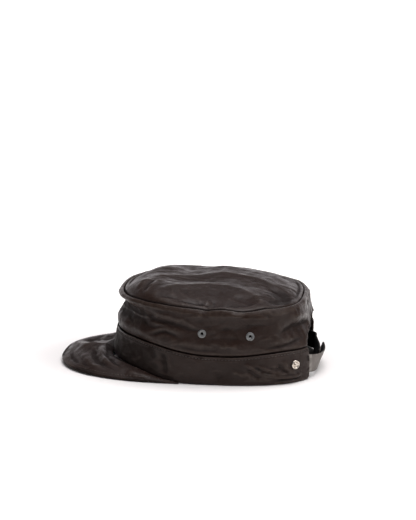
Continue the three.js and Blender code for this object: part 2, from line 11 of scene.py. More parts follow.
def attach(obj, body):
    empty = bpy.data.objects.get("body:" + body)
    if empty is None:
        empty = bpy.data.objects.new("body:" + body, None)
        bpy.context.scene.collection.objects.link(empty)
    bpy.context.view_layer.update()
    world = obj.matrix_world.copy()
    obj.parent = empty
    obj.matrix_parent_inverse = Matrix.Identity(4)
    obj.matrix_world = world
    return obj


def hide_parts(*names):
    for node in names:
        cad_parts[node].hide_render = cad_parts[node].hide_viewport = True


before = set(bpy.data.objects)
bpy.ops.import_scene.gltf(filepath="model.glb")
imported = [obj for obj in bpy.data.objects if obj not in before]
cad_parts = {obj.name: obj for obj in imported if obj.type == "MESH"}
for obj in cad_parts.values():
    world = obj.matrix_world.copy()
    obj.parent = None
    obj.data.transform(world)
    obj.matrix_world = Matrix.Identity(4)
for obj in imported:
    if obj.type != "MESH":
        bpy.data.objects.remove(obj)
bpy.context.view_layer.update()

MM = 0.001
OVAL_CENTRE_BACK = 19.5
TURN = 2 * math.pi
DEGREE = math.pi / 180

# Band, on its outer face
BAND_HALF_WIDTH = 86
BAND_FRONT_REACH = 101
BAND_BACK_REACH = 112
BAND_SIDE_TOP = 28.5
BAND_FRONT_TOP = 38
BAND_BACK_TOP = 32.5
BAND_FRONT_LEAN = 5
BAND_WALL = 2.4
BAND_TOP_WALL = 1.4
BAND_FOOT_LIFT = 0.38
BAND_FOOT_CORNER = 2.2
BAND_TOP_CORNER = 2.5
OPENING_NEAR_SIDE = 53
OPENING_FAR_SIDE = 57

# Crown, on its outer face
SEAM_HALF_WIDTH = 79
SEAM_FRONT_REACH = 90
SEAM_BACK_REACH = 92
SEAM_BACK_HEIGHT = 72.5
SEAM_FRONT_HEIGHT = 75
FAR_SEAM_RISE = 3.2
SEAM_OUTER_EDGE = 1.3
SEAM_INNER_EDGE = 1.7
SEAM_DEPTH = 3.4
DOME_INSET = 2.3
DOME_EDGE_RISE = 0.7
DOME_FRONT_RISE = 13
DOME_FRONT_FULLNESS = 9
DOME_BACK_RISE = 8
DOME_BACK_FULLNESS = 4
CROWN_WALL = 1.5
CROWN_TUCK = 5
ARCH_HEIGHT = 48
ARCH_ROUNDNESS = 3
BACK_SAG = 9
CLEARANCE = 0.3

# Peak
PEAK_REACH = 152.5
PEAK_CORNER = 22
PEAK_CORNER_LAP = 1.6
PEAK_WALL = 3
PEAK_CORNER_WALL = 1.4
PEAK_LIFT = 11
PEAK_ARCH = 3
PEAK_RIM_LIFT = 2.6
PEAK_ROOT_DIP = 3.4
PEAK_FLOOR_GAP = 0.2
RIM_ROUNDNESS = 2.55

# Strap
STRAP_WIDTH = 18
STRAP_LEATHER_WALL = 1.1
STRAP_WEBBING_WALL = 0.7
STRAP_LAYER_GAP = 0.05
STRAP_BACK_REACH = 107
STRAP_NEAR_FOOT = 6.8
STRAP_FAR_FOOT = 1.2
STRAP_TUCK = 22

# Metal parts
EYELET_HEIGHT = 50.5
EYELET_BACK_DROP = 1.7
EYELET_FRONT = 1
EYELET_BACK = 47
EYELET_HOLE = 2.3
EYELET_SINK = 0.15
SNAP_INSET = 18
SNAP_STAND = 0.05
SNAP_NEAR_HEIGHT = 18.5
SNAP_FAR_HEIGHT = 11

# Stitches
STITCH_PITCH = 3.2
STITCH_LENGTH = 2.3
STITCH_WIDTH = 0.55
STITCH_LIFT = 0.08
BAND_STITCH_INSET = 1.6
PEAK_STITCH_INSET = 2.6
ARCH_STITCH_INSET = 3.2

# Rows and columns of the leather pieces' meshes
WALL_COLUMNS = 400
OPENING_COLUMNS = 90
SIDE_ROWS = 62
TOP_ROWS = 92
BAND_ROWS = 44
PEAK_ROWS = 56
PEAK_COLUMNS = 241


def clamp(value):
    return np.clip(value, 0, 1)


def smooth(value):
    value = clamp(value)
    return value * value * (3 - 2 * value)


def within(value, low, high):
    return smooth((value - low) / (high - low))


def mix(low, high, share):
    return low + (high - low) * share


def bell(value):
    return np.exp(-np.square(value))


# Smooth curve through a table's rows
def read(table, key, column, places):
    keys = np.array([row[key] for row in table], float)
    values = np.array([row[column] for row in table], float)
    slopes = np.gradient(values, keys)
    places = np.clip(places, keys[0], keys[-1])
    i = np.clip(np.searchsorted(keys, places) - 1, 0, len(keys) - 2)
    span = keys[i + 1] - keys[i]
    t = (places - keys[i]) / span
    return ((2 * t**3 - 3 * t**2 + 1) * values[i] + (t**3 - 2 * t**2 + t) * span * slopes[i]
            + (-2 * t**3 + 3 * t**2) * values[i + 1] + (t**3 - t**2) * span * slopes[i + 1])


# Smooth seeded unevenness of about -1 to 1, in bumps of a given size
def ripple(places, size, seed, waves=20):
    draw = np.random.default_rng(seed)
    total = np.zeros(places.shape[:-1])
    for _ in range(waves):
        heading = draw.normal(size=places.shape[-1])
        heading /= np.linalg.norm(heading)
        length = size * draw.uniform(0.7, 1.7)
        total += np.sin(places @ heading * TURN / length + draw.uniform(0, TURN))
    return total / math.sqrt(waves)


# Raised lines wandering over a surface, like the small drag lines of soft leather
def drag_lines(places, size, seed, width=0.3):
    return np.exp(-np.abs(ripple(places, size, seed, 12)) / width)


# Egg-shaped outlines of the band and the top seam, by the angle round from the near side
def outline(angle, half_width, front_reach, back_reach):
    front = np.sin(angle) < 0
    across = np.abs(np.cos(angle)) / half_width
    along = np.abs(np.sin(angle)) / np.where(front, front_reach, back_reach)
    power = np.where(front, 2.1, 2.85)
    return (across**power + along**power) ** (-1 / power)


def band_radius(angle):
    return outline(angle, BAND_HALF_WIDTH, BAND_FRONT_REACH, BAND_BACK_REACH)


def seam_radius(angle):
    return outline(angle, SEAM_HALF_WIDTH, SEAM_FRONT_REACH, SEAM_BACK_REACH)


def forward(angle):
    return -np.sin(angle) * band_radius(angle) / BAND_FRONT_REACH


def backward(angle):
    return np.sin(angle) * band_radius(angle) / BAND_BACK_REACH


# Angle at which a test stops holding on the way from one angle to another
def angle_while(low, high, holds):
    for _ in range(50):
        middle = (low + high) / 2
        if holds(middle):
            low = middle
        else:
            high = middle
    return (low + high) / 2


def angle_at_x(x):
    return angle_while(0, math.pi, lambda angle: band_radius(angle) * math.cos(angle) > x)


OPENING_NEAR = angle_at_x(OPENING_NEAR_SIDE)
OPENING_FAR = angle_at_x(-OPENING_FAR_SIDE)
OPENING_HALF_WIDTH = (OPENING_NEAR_SIDE + OPENING_FAR_SIDE) / 2
OPENING_MIDDLE = OPENING_NEAR_SIDE - OPENING_HALF_WIDTH


# How far beside the opening's middle a place is, as a share of its half width, and 1 all round the front
def beside_opening(angle):
    aside = np.abs(band_radius(angle) * np.cos(angle) - OPENING_MIDDLE) / OPENING_HALF_WIDTH
    return np.where(np.sin(angle) <= 0, 1.0, aside)


def band_foot(angle):
    return PEAK_LIFT * within(forward(angle), 0.22, 0.9)


def band_top(angle):
    front = (BAND_FRONT_TOP - BAND_SIDE_TOP) * within(forward(angle), -0.1, 0.75)
    back = (BAND_BACK_TOP - BAND_SIDE_TOP) * within(backward(angle), 0.25, 0.75)
    return BAND_SIDE_TOP + front + back


# The seam rises towards the far side's front
def seam_rise(angle):
    return FAR_SEAM_RISE * smooth((0.15 - np.cos(angle)) / 0.7) * smooth((0.55 - np.sin(angle)) / 0.9)


def even_seam_height(angle):
    return mix(SEAM_BACK_HEIGHT, SEAM_FRONT_HEIGHT, within(forward(angle), -0.2, 0.4))


# Depth of the groove along the seam, less at the back where both panels are gathered
def groove(angle):
    return 1 - 0.75 * within(np.sin(angle), 0.66, 0.86)


def seam_height(angle):
    return even_seam_height(angle) + seam_rise(angle)


def band_face(angle, share):
    return band_radius(angle) - BAND_FRONT_LEAN * share * within(forward(angle), 0.2, 1)


def at(angle, radius, height):
    angle, radius, height = np.broadcast_arrays(angle, radius, height)
    return np.stack([radius * np.cos(angle), radius * np.sin(angle), height], -1)


# A fold follows a line of points; this gives how far each place is to the line's left side, and
# how far along the line it is, from 0 to 1
def beside_line(places, line):
    line = np.asarray(line, float)
    lengths = np.linalg.norm(np.diff(line, axis=0), axis=1)
    starts = np.concatenate([[0], np.cumsum(lengths)])
    best = np.full(places.shape[:-1], 1e9)
    side = np.zeros_like(best)
    along = np.zeros_like(best)
    for i, length in enumerate(lengths):
        heading = (line[i + 1] - line[i]) / length
        offset = places - line[i]
        t = np.clip(offset @ heading, 0, length)
        away = offset - t[..., None] * heading
        distance = np.linalg.norm(away, axis=-1)
        nearer = distance < best
        turn = heading[0] * away[..., 1] - heading[1] * away[..., 0]
        best = np.where(nearer, distance, best)
        side = np.where(nearer, np.where(turn < 0, -distance, distance), side)
        along = np.where(nearer, (starts[i] + t) / starts[-1], along)
    return side, along


# Height that a row of a fold table adds, in millimetres: a soft roll or dent, or with sharp a crease
# or crest. Other is the width on the line's right side; lip raises the side of its sign; with reach
# the right side slopes evenly away from the line, down to rise at the reach.
def fold_height(places, fold):
    side, along = beside_line(places, fold["line"])
    width = np.where(side < 0, fold.get("other", fold["width"]), fold["width"])
    if "reach" in fold:
        away = np.clip(-side, 0, fold["reach"])
        shape = (np.sqrt(away**2 + width**2) - width) / fold["reach"]
    elif fold.get("sharp"):
        tip = fold["sharp"]
        shape = np.exp(-(np.sqrt(side**2 + tip**2) - tip) / width)
    else:
        shape = bell(side / width)
    if fold.get("lip"):
        shape = shape - 0.45 * bell((side - fold["lip"] * 2.1 * width) / (1.2 * width))
    fade = fold.get("fade", 0.3)
    taper = mix(fold.get("ends", 0.0), 1, smooth(np.minimum(along, 1 - along) / fade)) if fade else 1
    return fold["rise"] * shape * taper


# Unit vectors that face out of a grid of points, whose rows run up or inward and whose columns run
# anticlockwise
def facings(grid, ring=False):
    across = np.roll(grid, -1, 1) - np.roll(grid, 1, 1) if ring else np.gradient(grid, axis=1)
    facing = np.cross(across, np.gradient(grid, axis=0))
    return facing / (np.linalg.norm(facing, axis=-1, keepdims=True) + 1e-12)


# Rows of the half round that joins a shell's two faces past its first or last row
def round_edge(middle, facing, half, edge, steps):
    out = middle[edge] - middle[1 if edge == 0 else -2]
    out -= facing[edge] * np.sum(out * facing[edge], -1, keepdims=True)
    out /= np.linalg.norm(out, axis=-1, keepdims=True) + 1e-12
    start = -facing[edge] if edge == 0 else facing[edge]
    turns = math.pi * np.arange(1, steps) / steps
    return [middle[edge] + (start * math.cos(turn) + out * math.sin(turn)) * half[edge] for turn in turns]


# Columns that round off the end of an open shell, from its side towards its middle
def round_end(loops, cores, halves, end, steps):
    out = cores[:, end] - cores[:, 1 if end == 0 else -2]
    out /= np.linalg.norm(out, axis=-1, keepdims=True) + 1e-12
    columns = []
    for k in range(1, steps // 2 + 2):
        turn = math.pi / 2 * k / (steps // 2 + 1)
        bend = (loops[:, end] - cores[:, end]) * math.cos(turn)
        columns.append(cores[:, end] + bend + out * halves[:, end] * math.sin(turn))
    return np.stack(columns, 1)


# Closed shell of a grid of points, as rows that close on themselves: the grid, and an inner copy one
# wall away, with round edges. It also gives how far each row is towards the inner face, from 0 to 1,
# and the row of the grid that it comes from. Drop is a fixed facing; a pole is a closed last row.
def shell_loops(outer, wall, ring, steps, drop, pole):
    facing = facings(outer, ring) if drop is None else np.broadcast_to(np.array(drop, float), outer.shape)
    if pole:
        facing[-1] = facing[-2].mean(0)
        facing /= np.linalg.norm(facing, axis=-1, keepdims=True)
    half = np.broadcast_to(np.asarray(wall, float), outer.shape[:2])[..., None] / 2
    middle = outer - facing * half
    top = [] if pole else round_edge(middle, facing, half, -1, steps)
    foot = round_edge(middle, facing, half, 0, steps)
    loops = np.array([*outer, *top, *(middle - facing * half)[::-1], *foot])
    count = len(outer)
    source = [*range(count), *[count - 1] * len(top), *reversed(range(count)), *[0] * len(foot)]
    inside = np.concatenate([np.zeros(count), np.linspace(0, 1, len(top) + 2)[1:-1],
                             np.ones(count), np.linspace(1, 0, len(foot) + 2)[1:-1]])
    if not ring:
        cores, halves = middle[source], half[source]
        first, last = (round_end(loops, cores, halves, end, steps) for end in (0, -1))
        loops = np.concatenate([first[:, ::-1], loops, last], 1)
    return loops, inside, source


def place_of(points):
    return (np.asarray(points, float) + (0, OVAL_CENTRE_BACK, 0)) * MM


# How strongly each place bulges out, from -1 in a crease to 1 on a crest
def bulges(outer, ring, reach=2):
    def slid(grid, step, axis):
        if axis == 1 and ring:
            return np.roll(grid, step, 1)
        index = np.clip(np.arange(grid.shape[axis]) - step, 0, grid.shape[axis] - 1)
        return np.take(grid, index, axis)

    facing = facings(outer)
    total = 0
    for axis in (0, 1):
        ahead, behind = slid(outer, -reach, axis), slid(outer, reach, axis)
        gap = np.linalg.norm(ahead - outer, axis=-1) * np.linalg.norm(behind - outer, axis=-1) + 0.05
        total = total - np.sum((ahead + behind - 2 * outer) * facing, -1) / gap
    for _ in range(3):
        total = (total + slid(total, 1, 0) + slid(total, -1, 0) + slid(total, 1, 1) + slid(total, -1, 1)) / 5
    return np.tanh(total * 7)


def as_piece(name, mesh):
    piece = bpy.data.objects.new(name, mesh)
    bpy.context.collection.objects.link(piece)
    return piece


# Faces between the rows and columns of points, open where a hole is cut
def shell_faces(loops, ring, pole_row, holes):
    rows, columns = loops.shape[:2]
    spans = columns if ring else columns - 1
    i, j = np.meshgrid(np.arange(rows), np.arange(spans), indexing="ij")
    down, right = (i + 1) % rows, (j + 1) % columns
    faces = np.stack([i * columns + j, i * columns + right, down * columns + right, down * columns + j], -1)
    keep = np.ones((rows, spans), bool)
    if pole_row is not None:
        keep[pole_row] = False
    for centre, radius in holes:
        near = np.linalg.norm(loops - centre, axis=-1) < radius
        keep &= ~near[:, :spans]
    return faces[keep].reshape(-1, 4).tolist()


# UV map in true lengths, along a middle row and up the columns
def map_lengths(mesh, loops, middle_row, ring):
    columns = loops.shape[1]
    lengths = np.linalg.norm(np.diff(loops, axis=0), axis=-1).mean(1)
    heights = np.concatenate([[0], np.cumsum(lengths)])
    widths = np.linalg.norm(np.diff(loops[middle_row], axis=0), axis=-1)
    runs = np.concatenate([[0], np.cumsum(widths)])
    if ring:
        runs = np.concatenate([runs, [runs[-1] + widths[-1]]])
    uv = mesh.uv_layers.new(name="Lengths")
    index = np.zeros(len(mesh.loops), int)
    mesh.loops.foreach_get("vertex_index", index)
    flat = np.stack([runs[index % columns] * MM, heights[index // columns] * MM], -1)
    uv.data.foreach_set("uv", flat.ravel())


def keep_values(mesh, name, values):
    attribute = mesh.attributes.new(name, "FLOAT", "POINT")
    attribute.data.foreach_set("value", values)


# A leather piece from the rows of its outer face. It keeps how far each place is towards the flesh side, and
# a value that is rubbed wear on crests and painted shade in creases;
# rows given painted shade, along seams, in hollows and in pockets, lower it, and rows given a negative amount
# raise it as a painted highlight.
def leather_piece(name, outer, wall, ring=False, steps=5, drop=None, pole=False, holes=(), painted_shade_rows=()):
    loops, inside, source = shell_loops(outer, wall, ring, steps, drop, pole)
    columns = loops.shape[1]
    mesh = bpy.data.meshes.new(name)
    faces = shell_faces(loops, ring, len(outer) - 1 if pole else None, holes)
    mesh.from_pydata(place_of(loops).reshape(-1, 3).tolist(), [], faces)
    map_lengths(mesh, loops, len(outer) // 2, ring)
    wear_with_painted_light = bulges(outer, ring)
    # Positive amounts are painted shade, negative amounts are painted highlight
    for rows, painted_shade in painted_shade_rows:
        wear_with_painted_light[rows] -= painted_shade
    wear_with_painted_light = wear_with_painted_light[source]
    if not ring:
        extra = (columns - outer.shape[1]) // 2
        wear_with_painted_light = np.pad(wear_with_painted_light, ((0, 0), (extra, extra)), mode="edge")
    keep_values(mesh, "inside", np.repeat(inside, columns))
    keep_values(mesh, "wear_and_painted_light", np.clip(wear_with_painted_light, -1, 1).ravel().astype(float))
    piece = as_piece(name, mesh)
    work = bmesh.new()
    work.from_mesh(mesh)
    bmesh.ops.remove_doubles(work, verts=work.verts, dist=1e-6)
    loose = [vert for vert in work.verts if not vert.link_faces]
    bmesh.ops.delete(work, geom=loose, context="VERTS")
    work.to_mesh(mesh)
    work.free()
    mesh.shade_smooth()
    return piece


# Columns round the wall, closer together over the opening at the back
wall_angles = np.linspace(OPENING_FAR - TURN, OPENING_NEAR, WALL_COLUMNS + 1)
band_angles = np.linspace(OPENING_FAR - TURN, OPENING_NEAR + 0.5 * DEGREE, WALL_COLUMNS + 1)
spread = np.cos(np.pi * np.arange(1, OPENING_COLUMNS) / OPENING_COLUMNS)
opening_angles = np.array([angle_at_x(OPENING_MIDDLE + OPENING_HALF_WIDTH * share) for share in spread])
ring_angles = np.concatenate([wall_angles, opening_angles])

# How far the side panel swells past the straight line from band to seam, in millimetres
SWELL = [
    dict(height=0.00, side=0.0, front=0.0, back=0.0),
    dict(height=0.03, side=1.9, front=1.5, back=0.9),
    dict(height=0.07, side=2.6, front=2.1, back=1.3),
    dict(height=0.20, side=3.8, front=2.9, back=2.1),
    dict(height=0.40, side=3.3, front=0.6, back=2.2),
    dict(height=0.56, side=2.7, front=-1.6, back=1.9),
    dict(height=0.70, side=2.8, front=-2.6, back=2.1),
    dict(height=0.78, side=3.0, front=-0.4, back=2.6),
    dict(height=0.85, side=3.3, front=3.2, back=3.0),
    dict(height=0.93, side=3.1, front=4.4, back=3.0),
    dict(height=1.00, side=1.4, front=2.8, back=1.4),
]

# Folds of the side panel, along lines of (degrees round from the near side, share of the height).
# Widths and rises are in millimetres; a crease has its lip on the side of its sign.
SIDE_FOLDS = [
    dict(line=[(-80, 0.68), (-55, 0.69), (-42, 0.66), (-30, 0.61), (-18, 0.615), (-8, 0.556), (4, 0.53)],
         width=3.2, other=8, rise=-2.3, sharp=1.2, fade=0.35, ends=0.1),
    dict(line=[(-80, 0.50), (-50, 0.50), (-25, 0.46)], width=8, rise=-1.6),
    dict(line=[(-96, 0.80), (-78, 0.80), (-62, 0.84), (-50, 0.87)], width=4, rise=-1.8, sharp=1.2, fade=0.3),
    dict(line=[(-92, 0.30), (-70, 0.34), (-52, 0.32)], width=5, rise=1.4, sharp=2),
    dict(line=[(-44, 0.50), (-30, 0.53), (-16, 0.50), (-4, 0.44)], width=3, rise=1.0, sharp=1),
    dict(line=[(2, 0.36), (14, 0.42), (26, 0.40)], width=3, rise=-0.8, sharp=1),
    dict(line=[(8, 0.62), (22, 0.60), (38, 0.66)], width=4, rise=-1.0, sharp=1.5),
    dict(line=[(-20, 0.14), (0, 0.12), (18, 0.16)], width=3, rise=-0.9, sharp=1),
    dict(line=[(10, 0.20), (24, 0.26)], width=2.6, rise=0.7, sharp=1),
    dict(line=[(-38, 0.18), (-33.6, 0.23), (-28, 0.34), (-24, 0.375), (-17, 0.35), (-11, 0.28)],
         width=1.7, rise=-0.9, sharp=0.5, lip=1),
    dict(line=[(-34, 0.76), (-14, 0.71), (-3, 0.64), (6, 0.62)], width=3.6, rise=0.9),
    dict(line=[(-60, 0.86), (-41, 0.88), (-28, 0.84), (-16, 0.80)], width=2.6, rise=-0.7),
    dict(line=[(44, 0.38), (51, 0.48), (57, 0.54), (66, 0.53), (76, 0.46)], width=3.5, other=8,
         rise=-3.8, sharp=1.5),
    dict(line=[(52, 0.33), (64, 0.36)], width=7, rise=-1.8),
    dict(line=[(52, 0.75), (60, 0.74), (68, 0.70), (78, 0.62)], width=5, rise=2.0),
    dict(line=[(36, 0.13), (46, 0.12), (52, 0.16), (57, 0.20), (64, 0.27)], width=2.6, rise=-1.9,
         sharp=0.6, lip=1),
    dict(line=[(28, 0.27), (42, 0.22), (50, 0.27)], width=5, rise=-0.9),
    dict(line=[(3.3, 1.0), (3.3, 0.80)], width=1.4, rise=-0.45),
    dict(line=[(-1, 1.0), (-0.5, 0.84)], width=1.8, rise=0.6),
    dict(line=[(26, 1.0), (27, 0.94), (30, 0.86)], width=1.3, rise=-0.45),
    dict(line=[(21, 1.0), (22, 0.86)], width=2.0, rise=0.6),
    dict(line=[(38, 0.98), (39, 0.92), (42, 0.82)], width=1.4, rise=-0.5),
    dict(line=[(34, 0.99), (35, 0.9)], width=1.8, rise=0.5),
    dict(line=[(-12, 0.99), (-11, 0.88)], width=1.8, rise=-0.4),
    dict(line=[(14, 0.99), (15, 0.88)], width=1.8, rise=-0.4),
    dict(line=[(-112, 0.70), (-97, 0.64), (-80, 0.68)], width=3.5, other=8, rise=-2.2, sharp=1.2),
    dict(line=[(-122, 0.36), (-104, 0.30), (-92, 0.40)], width=4, rise=-1.3, lip=1),
    dict(line=[(-200, 0.62), (-176, 0.66), (-150, 0.60), (-128, 0.62)], width=3.5, other=8, rise=-2.2,
         sharp=1.2, fade=0.25),
    dict(line=[(-176, 0.30), (-160, 0.36), (-146, 0.28)], width=2.6, rise=-1.1, sharp=0.6, lip=1),
    dict(line=[(-232, 0.36), (-222, 0.50), (-208, 0.55)], width=4.5, other=8, rise=-3.2, sharp=1.5),
    dict(line=[(-236, 0.74), (-220, 0.72), (-206, 0.74)], width=5, rise=1.6),
    dict(line=[(84, 1.0), (85, 0.72)], width=2.6, rise=-1.1),
    dict(line=[(97, 1.0), (95, 0.66)], width=3.2, rise=-1.3),
    dict(line=[(108, 1.0), (109, 0.76)], width=2.6, rise=-1.0),
    dict(line=[(90, 0.98), (90, 0.7)], width=3.2, rise=0.9),
]
SIDE_LENGTH_PER_DEGREE = 1.47
SIDE_LENGTH_UP = 44


def side_folds(angle, height):
    turn = np.where(angle > math.pi / 2, angle - TURN, angle) / DEGREE
    total = np.zeros(np.broadcast(angle, height).shape)
    for around in (0, 360):
        places = np.stack(np.broadcast_arrays((turn + around) * SIDE_LENGTH_PER_DEGREE,
                                              height * SIDE_LENGTH_UP), -1)
        for fold in SIDE_FOLDS:
            line = [(x * SIDE_LENGTH_PER_DEGREE, y * SIDE_LENGTH_UP) for x, y in fold["line"]]
            total += fold_height(places, {**fold, "line": line})
    return total * smooth(height / 0.12) * smooth((1 - height) / 0.15)


def tuck_radius(angle):
    return band_face(angle, 1) - BAND_WALL - CLEARANCE


def side_height(angle, z):
    return (z - band_top(angle)) / (seam_height(angle) - band_top(angle))


def side_radius(angle, z):
    height = side_height(angle, z)
    front = within(forward(angle), 0.45, 0.95)
    back = within(backward(angle), 0.45, 0.95)
    side = read(SWELL, "height", "side", height)
    swell = side + (read(SWELL, "height", "front", height) - side) * front
    swell = swell + (read(SWELL, "height", "back", height) - side) * back
    sag = BACK_SAG * clamp(1 - beside_opening(angle) ** 2) * (1 - height)
    straight = mix(tuck_radius(angle), seam_radius(angle), clamp(height))
    over = straight + swell - sag + side_folds(angle, clamp(height))
    places = at(angle, band_radius(angle), z)
    over = over + 0.4 * ripple(places, 26, 3) * smooth(height / 0.2)
    lengthwise = places * (0.5, 0.5, 1.1)
    lines = 0.3 * drag_lines(lengthwise, 22, 6) - 0.3 * drag_lines(lengthwise, 19, 7)
    over = over + (lines + 0.12 * ripple(places, 8, 4)) * smooth(height / 0.2) * smooth((1 - height) / 0.1)
    pucker = ripple(places * (1, 1, 0.35), 7, 5)
    over = over + 0.12 * pucker * bell((height - 0.93) / 0.09)
    return np.where(height <= 0, tuck_radius(angle), over)


# Foot of the side panel: tucked into the band, and arched over the opening
def side_foot(angle):
    tucked = band_top(angle) - CROWN_TUCK
    aside = clamp(beside_opening(angle)) ** ARCH_ROUNDNESS
    return mix(tucked, ARCH_HEIGHT, (1 - aside) ** (1 / ARCH_ROUNDNESS))


# Dips and rises of the seam line, where the stitches gather it, at degrees round from the near side
SEAM_PUCKERS = [
    dict(turn=2, width=4, rise=-0.9),
    dict(turn=13, width=5, rise=0.8),
    dict(turn=27, width=5, rise=-1.0),
    dict(turn=40, width=5, rise=0.6),
    dict(turn=-24, width=5, rise=-0.5),
]

# How each panel's edge turns down into the seam: distances in from its edge, and drops below the seam
SIDE_EDGE_ROLL = [(0.55, -0.1), (1.15, 0.0), (1.7, 0.4), (2.1, 1.1), (2.3, 2.0), (2.4, SEAM_DEPTH)]
TOP_EDGE_ROLL = [(0, SEAM_DEPTH), (0.02, 2.4), (0.06, 1.2), (0.15, 0.2), (0.35, -0.4)]


def seam_pucker(angle):
    places = at(angle, seam_radius(angle), 0)
    waves = 0.35 * ripple(places, 30, 8) + 0.12 * ripple(places, 9, 9)
    for pucker in SEAM_PUCKERS:
        waves = waves + pucker["rise"] * bell((angle / DEGREE - pucker["turn"]) / pucker["width"])
    return waves


def seam_drop(angle, drop):
    return drop * mix(groove(angle), 1, drop / SEAM_DEPTH)


def side_panel():
    angle = ring_angles[None, :]
    foot = side_foot(angle)
    ledge = np.maximum(band_top(angle), mix(foot, seam_height(angle), 0.06))
    rows = [at(angle, side_radius(angle, z), z) for z in (foot, mix(foot, ledge, 0.5))]
    for share in np.linspace(0, 1, SIDE_ROWS) ** 0.97:
        z = mix(ledge, seam_height(angle), share)
        dip = seam_pucker(angle) * smooth((share - 0.85) / 0.15)
        rows.append(at(angle, side_radius(angle, z), z + dip))
    crest = rows[-1]
    z = seam_height(angle) + seam_pucker(angle)
    for inset, drop in SIDE_EDGE_ROLL:
        rows.append(at(angle, seam_radius(angle) + SEAM_OUTER_EDGE - inset, z - seam_drop(angle, drop)))
    return np.concatenate([np.broadcast_to(row, (1,) + crest.shape[1:]) for row in rows])


# The two long ridges of the top, from front to back, and its folds, along lines of (share of the
# seam's half width, share of its front reach)
NEAR_RIDGE = [(0.95, -0.72), (0.85, -0.63), (0.64, -0.51), (0.49, -0.335), (0.40, -0.17), (0.31, 0.01),
              (0.325, 0.184), (0.41, 0.378), (0.60, 0.545), (0.80, 0.64), (0.95, 0.70)]
FAR_RIDGE = [(0.20, -0.86), (0.194, -0.70), (0.00, -0.45), (-0.093, -0.238), (-0.20, -0.056),
             (-0.145, 0.255), (-0.065, 0.51), (0.087, 0.702), (0.18, 0.855), (0.20, 0.97)]
TOP_FOLDS = [
    dict(line=NEAR_RIDGE, width=2.5, reach=42, rise=-8.0, fade=0.06),
    dict(line=NEAR_RIDGE, width=9, other=6, rise=1.2, sharp=1.5, fade=0.1),
    dict(line=FAR_RIDGE, width=2.5, reach=28, rise=-2.2, fade=0.08),
    dict(line=FAR_RIDGE, width=14, other=6, rise=1.8, sharp=1.5, fade=0.12),
    dict(line=[(0.74, -0.80), (0.62, -0.745), (0.35, -0.685), (0.18, -0.60)], width=6, other=3.5,
         rise=1.5, sharp=1.2),
    dict(line=[(0.84, -0.72), (0.72, -0.65), (0.50, -0.61), (0.35, -0.56), (0.20, -0.44)],
         width=5, other=3.5, rise=1.4, sharp=1.2),
    dict(line=[(0.66, -0.68), (0.45, -0.645), (0.28, -0.58)], width=3, rise=-1.2, sharp=1),
    dict(line=[(0.56, -0.82), (0.44, -0.76), (0.20, -0.70)], width=4, other=3, rise=1.2, sharp=1.2),
    dict(line=[(-0.46, -0.30), (-0.53, 0.02), (-0.42, 0.38), (-0.28, 0.72)], width=15, other=8,
         rise=1.6, sharp=2.5),
    dict(line=[(-0.20, -0.84), (-0.36, -0.62), (-0.46, -0.36)], width=12, other=6, rise=1.3, sharp=2.5),
    dict(line=[(0.12, 0.62), (0.26, 0.76), (0.46, 0.86), (0.60, 0.92)], width=9, other=7,
         rise=-4.6, sharp=3, fade=0.3, ends=0.3),
    dict(line=[(0.42, 0.62), (0.54, 0.72), (0.66, 0.76)], width=4, rise=1.4, sharp=1.5),
    dict(line=[(-0.10, 0.86), (0.00, 0.94), (0.12, 1.0)], width=2.2, rise=0.9, sharp=0.8, fade=0.4),
    dict(line=[(0.02, 0.84), (0.12, 0.91), (0.26, 0.97)], width=2.2, rise=0.9, sharp=0.8, fade=0.4),
    dict(line=[(0.10, 0.80), (0.22, 0.87), (0.36, 0.93)], width=2.2, rise=0.8, sharp=0.8, fade=0.4),
    dict(line=[(1.0, 0.13), (0.92, 0.12), (0.84, 0.113), (0.78, 0.11)], width=3.2, rise=-2.6, sharp=0.8,
         fade=0.5, ends=0.5),
    dict(line=[(1.0, -0.02), (0.92, 0.01), (0.82, 0.04), (0.74, 0.05)], width=3.4, other=2.6,
         rise=1.8, sharp=0.8),
    dict(line=[(1.0, 0.24), (0.92, 0.20), (0.82, 0.15)], width=3, other=2.4, rise=1.7, sharp=0.8),
    dict(line=[(1.0, 0.33), (0.94, 0.28), (0.88, 0.24)], width=2.4, other=2, rise=1.1, sharp=0.6),
    dict(line=[(0.84, -0.46), (0.84, -0.30), (0.80, -0.14)], width=3.5, other=2.5, rise=0.8, sharp=1),
    dict(line=[(0.60, 0.30), (0.72, 0.44), (0.84, 0.56)], width=7, rise=-1.4, sharp=2),
    dict(line=[(0.70, -0.36), (0.62, -0.16)], width=6, rise=-0.8, sharp=2),
    dict(line=[(0.16, -0.40), (0.08, -0.05), (0.12, 0.30)], width=9, rise=-1.2),
    dict(line=[(-0.80, -0.30), (-0.74, 0.40)], width=11, rise=-1.5),
    dict(line=[(-0.36, 0.90), (-0.50, 0.70)], width=6, rise=-1.3),
    dict(line=[(0.72, -0.10), (0.84, -0.02)], width=3, other=2, rise=0.7, sharp=0.8),
    dict(line=[(0.30, 0.40), (0.45, 0.60), (0.66, 0.70)], width=4, other=3, rise=0.9, sharp=1),
]

# Painted shade in the hollow at the rear of the top, along a line like the folds'
TOP_HOLLOW_SHADE = [dict(line=[(0.26, 0.62), (0.36, 0.74), (0.50, 0.82), (0.64, 0.88), (0.78, 0.92)],
                   width=13, rise=1.7)]

# How much the dome stands above or below an even dome, along its length
DOME_LINE = [
    dict(y=-1.00, rise=-3.0),
    dict(y=-0.92, rise=-3.6),
    dict(y=-0.80, rise=-3.6),
    dict(y=-0.66, rise=-2.0),
    dict(y=-0.45, rise=-2.6),
    dict(y=-0.28, rise=-4.0),
    dict(y=-0.10, rise=-3.0),
    dict(y=0.10, rise=0.2),
    dict(y=0.35, rise=0.0),
    dict(y=0.70, rise=-0.2),
    dict(y=0.86, rise=-0.4),
    dict(y=1.00, rise=-3.0),
]


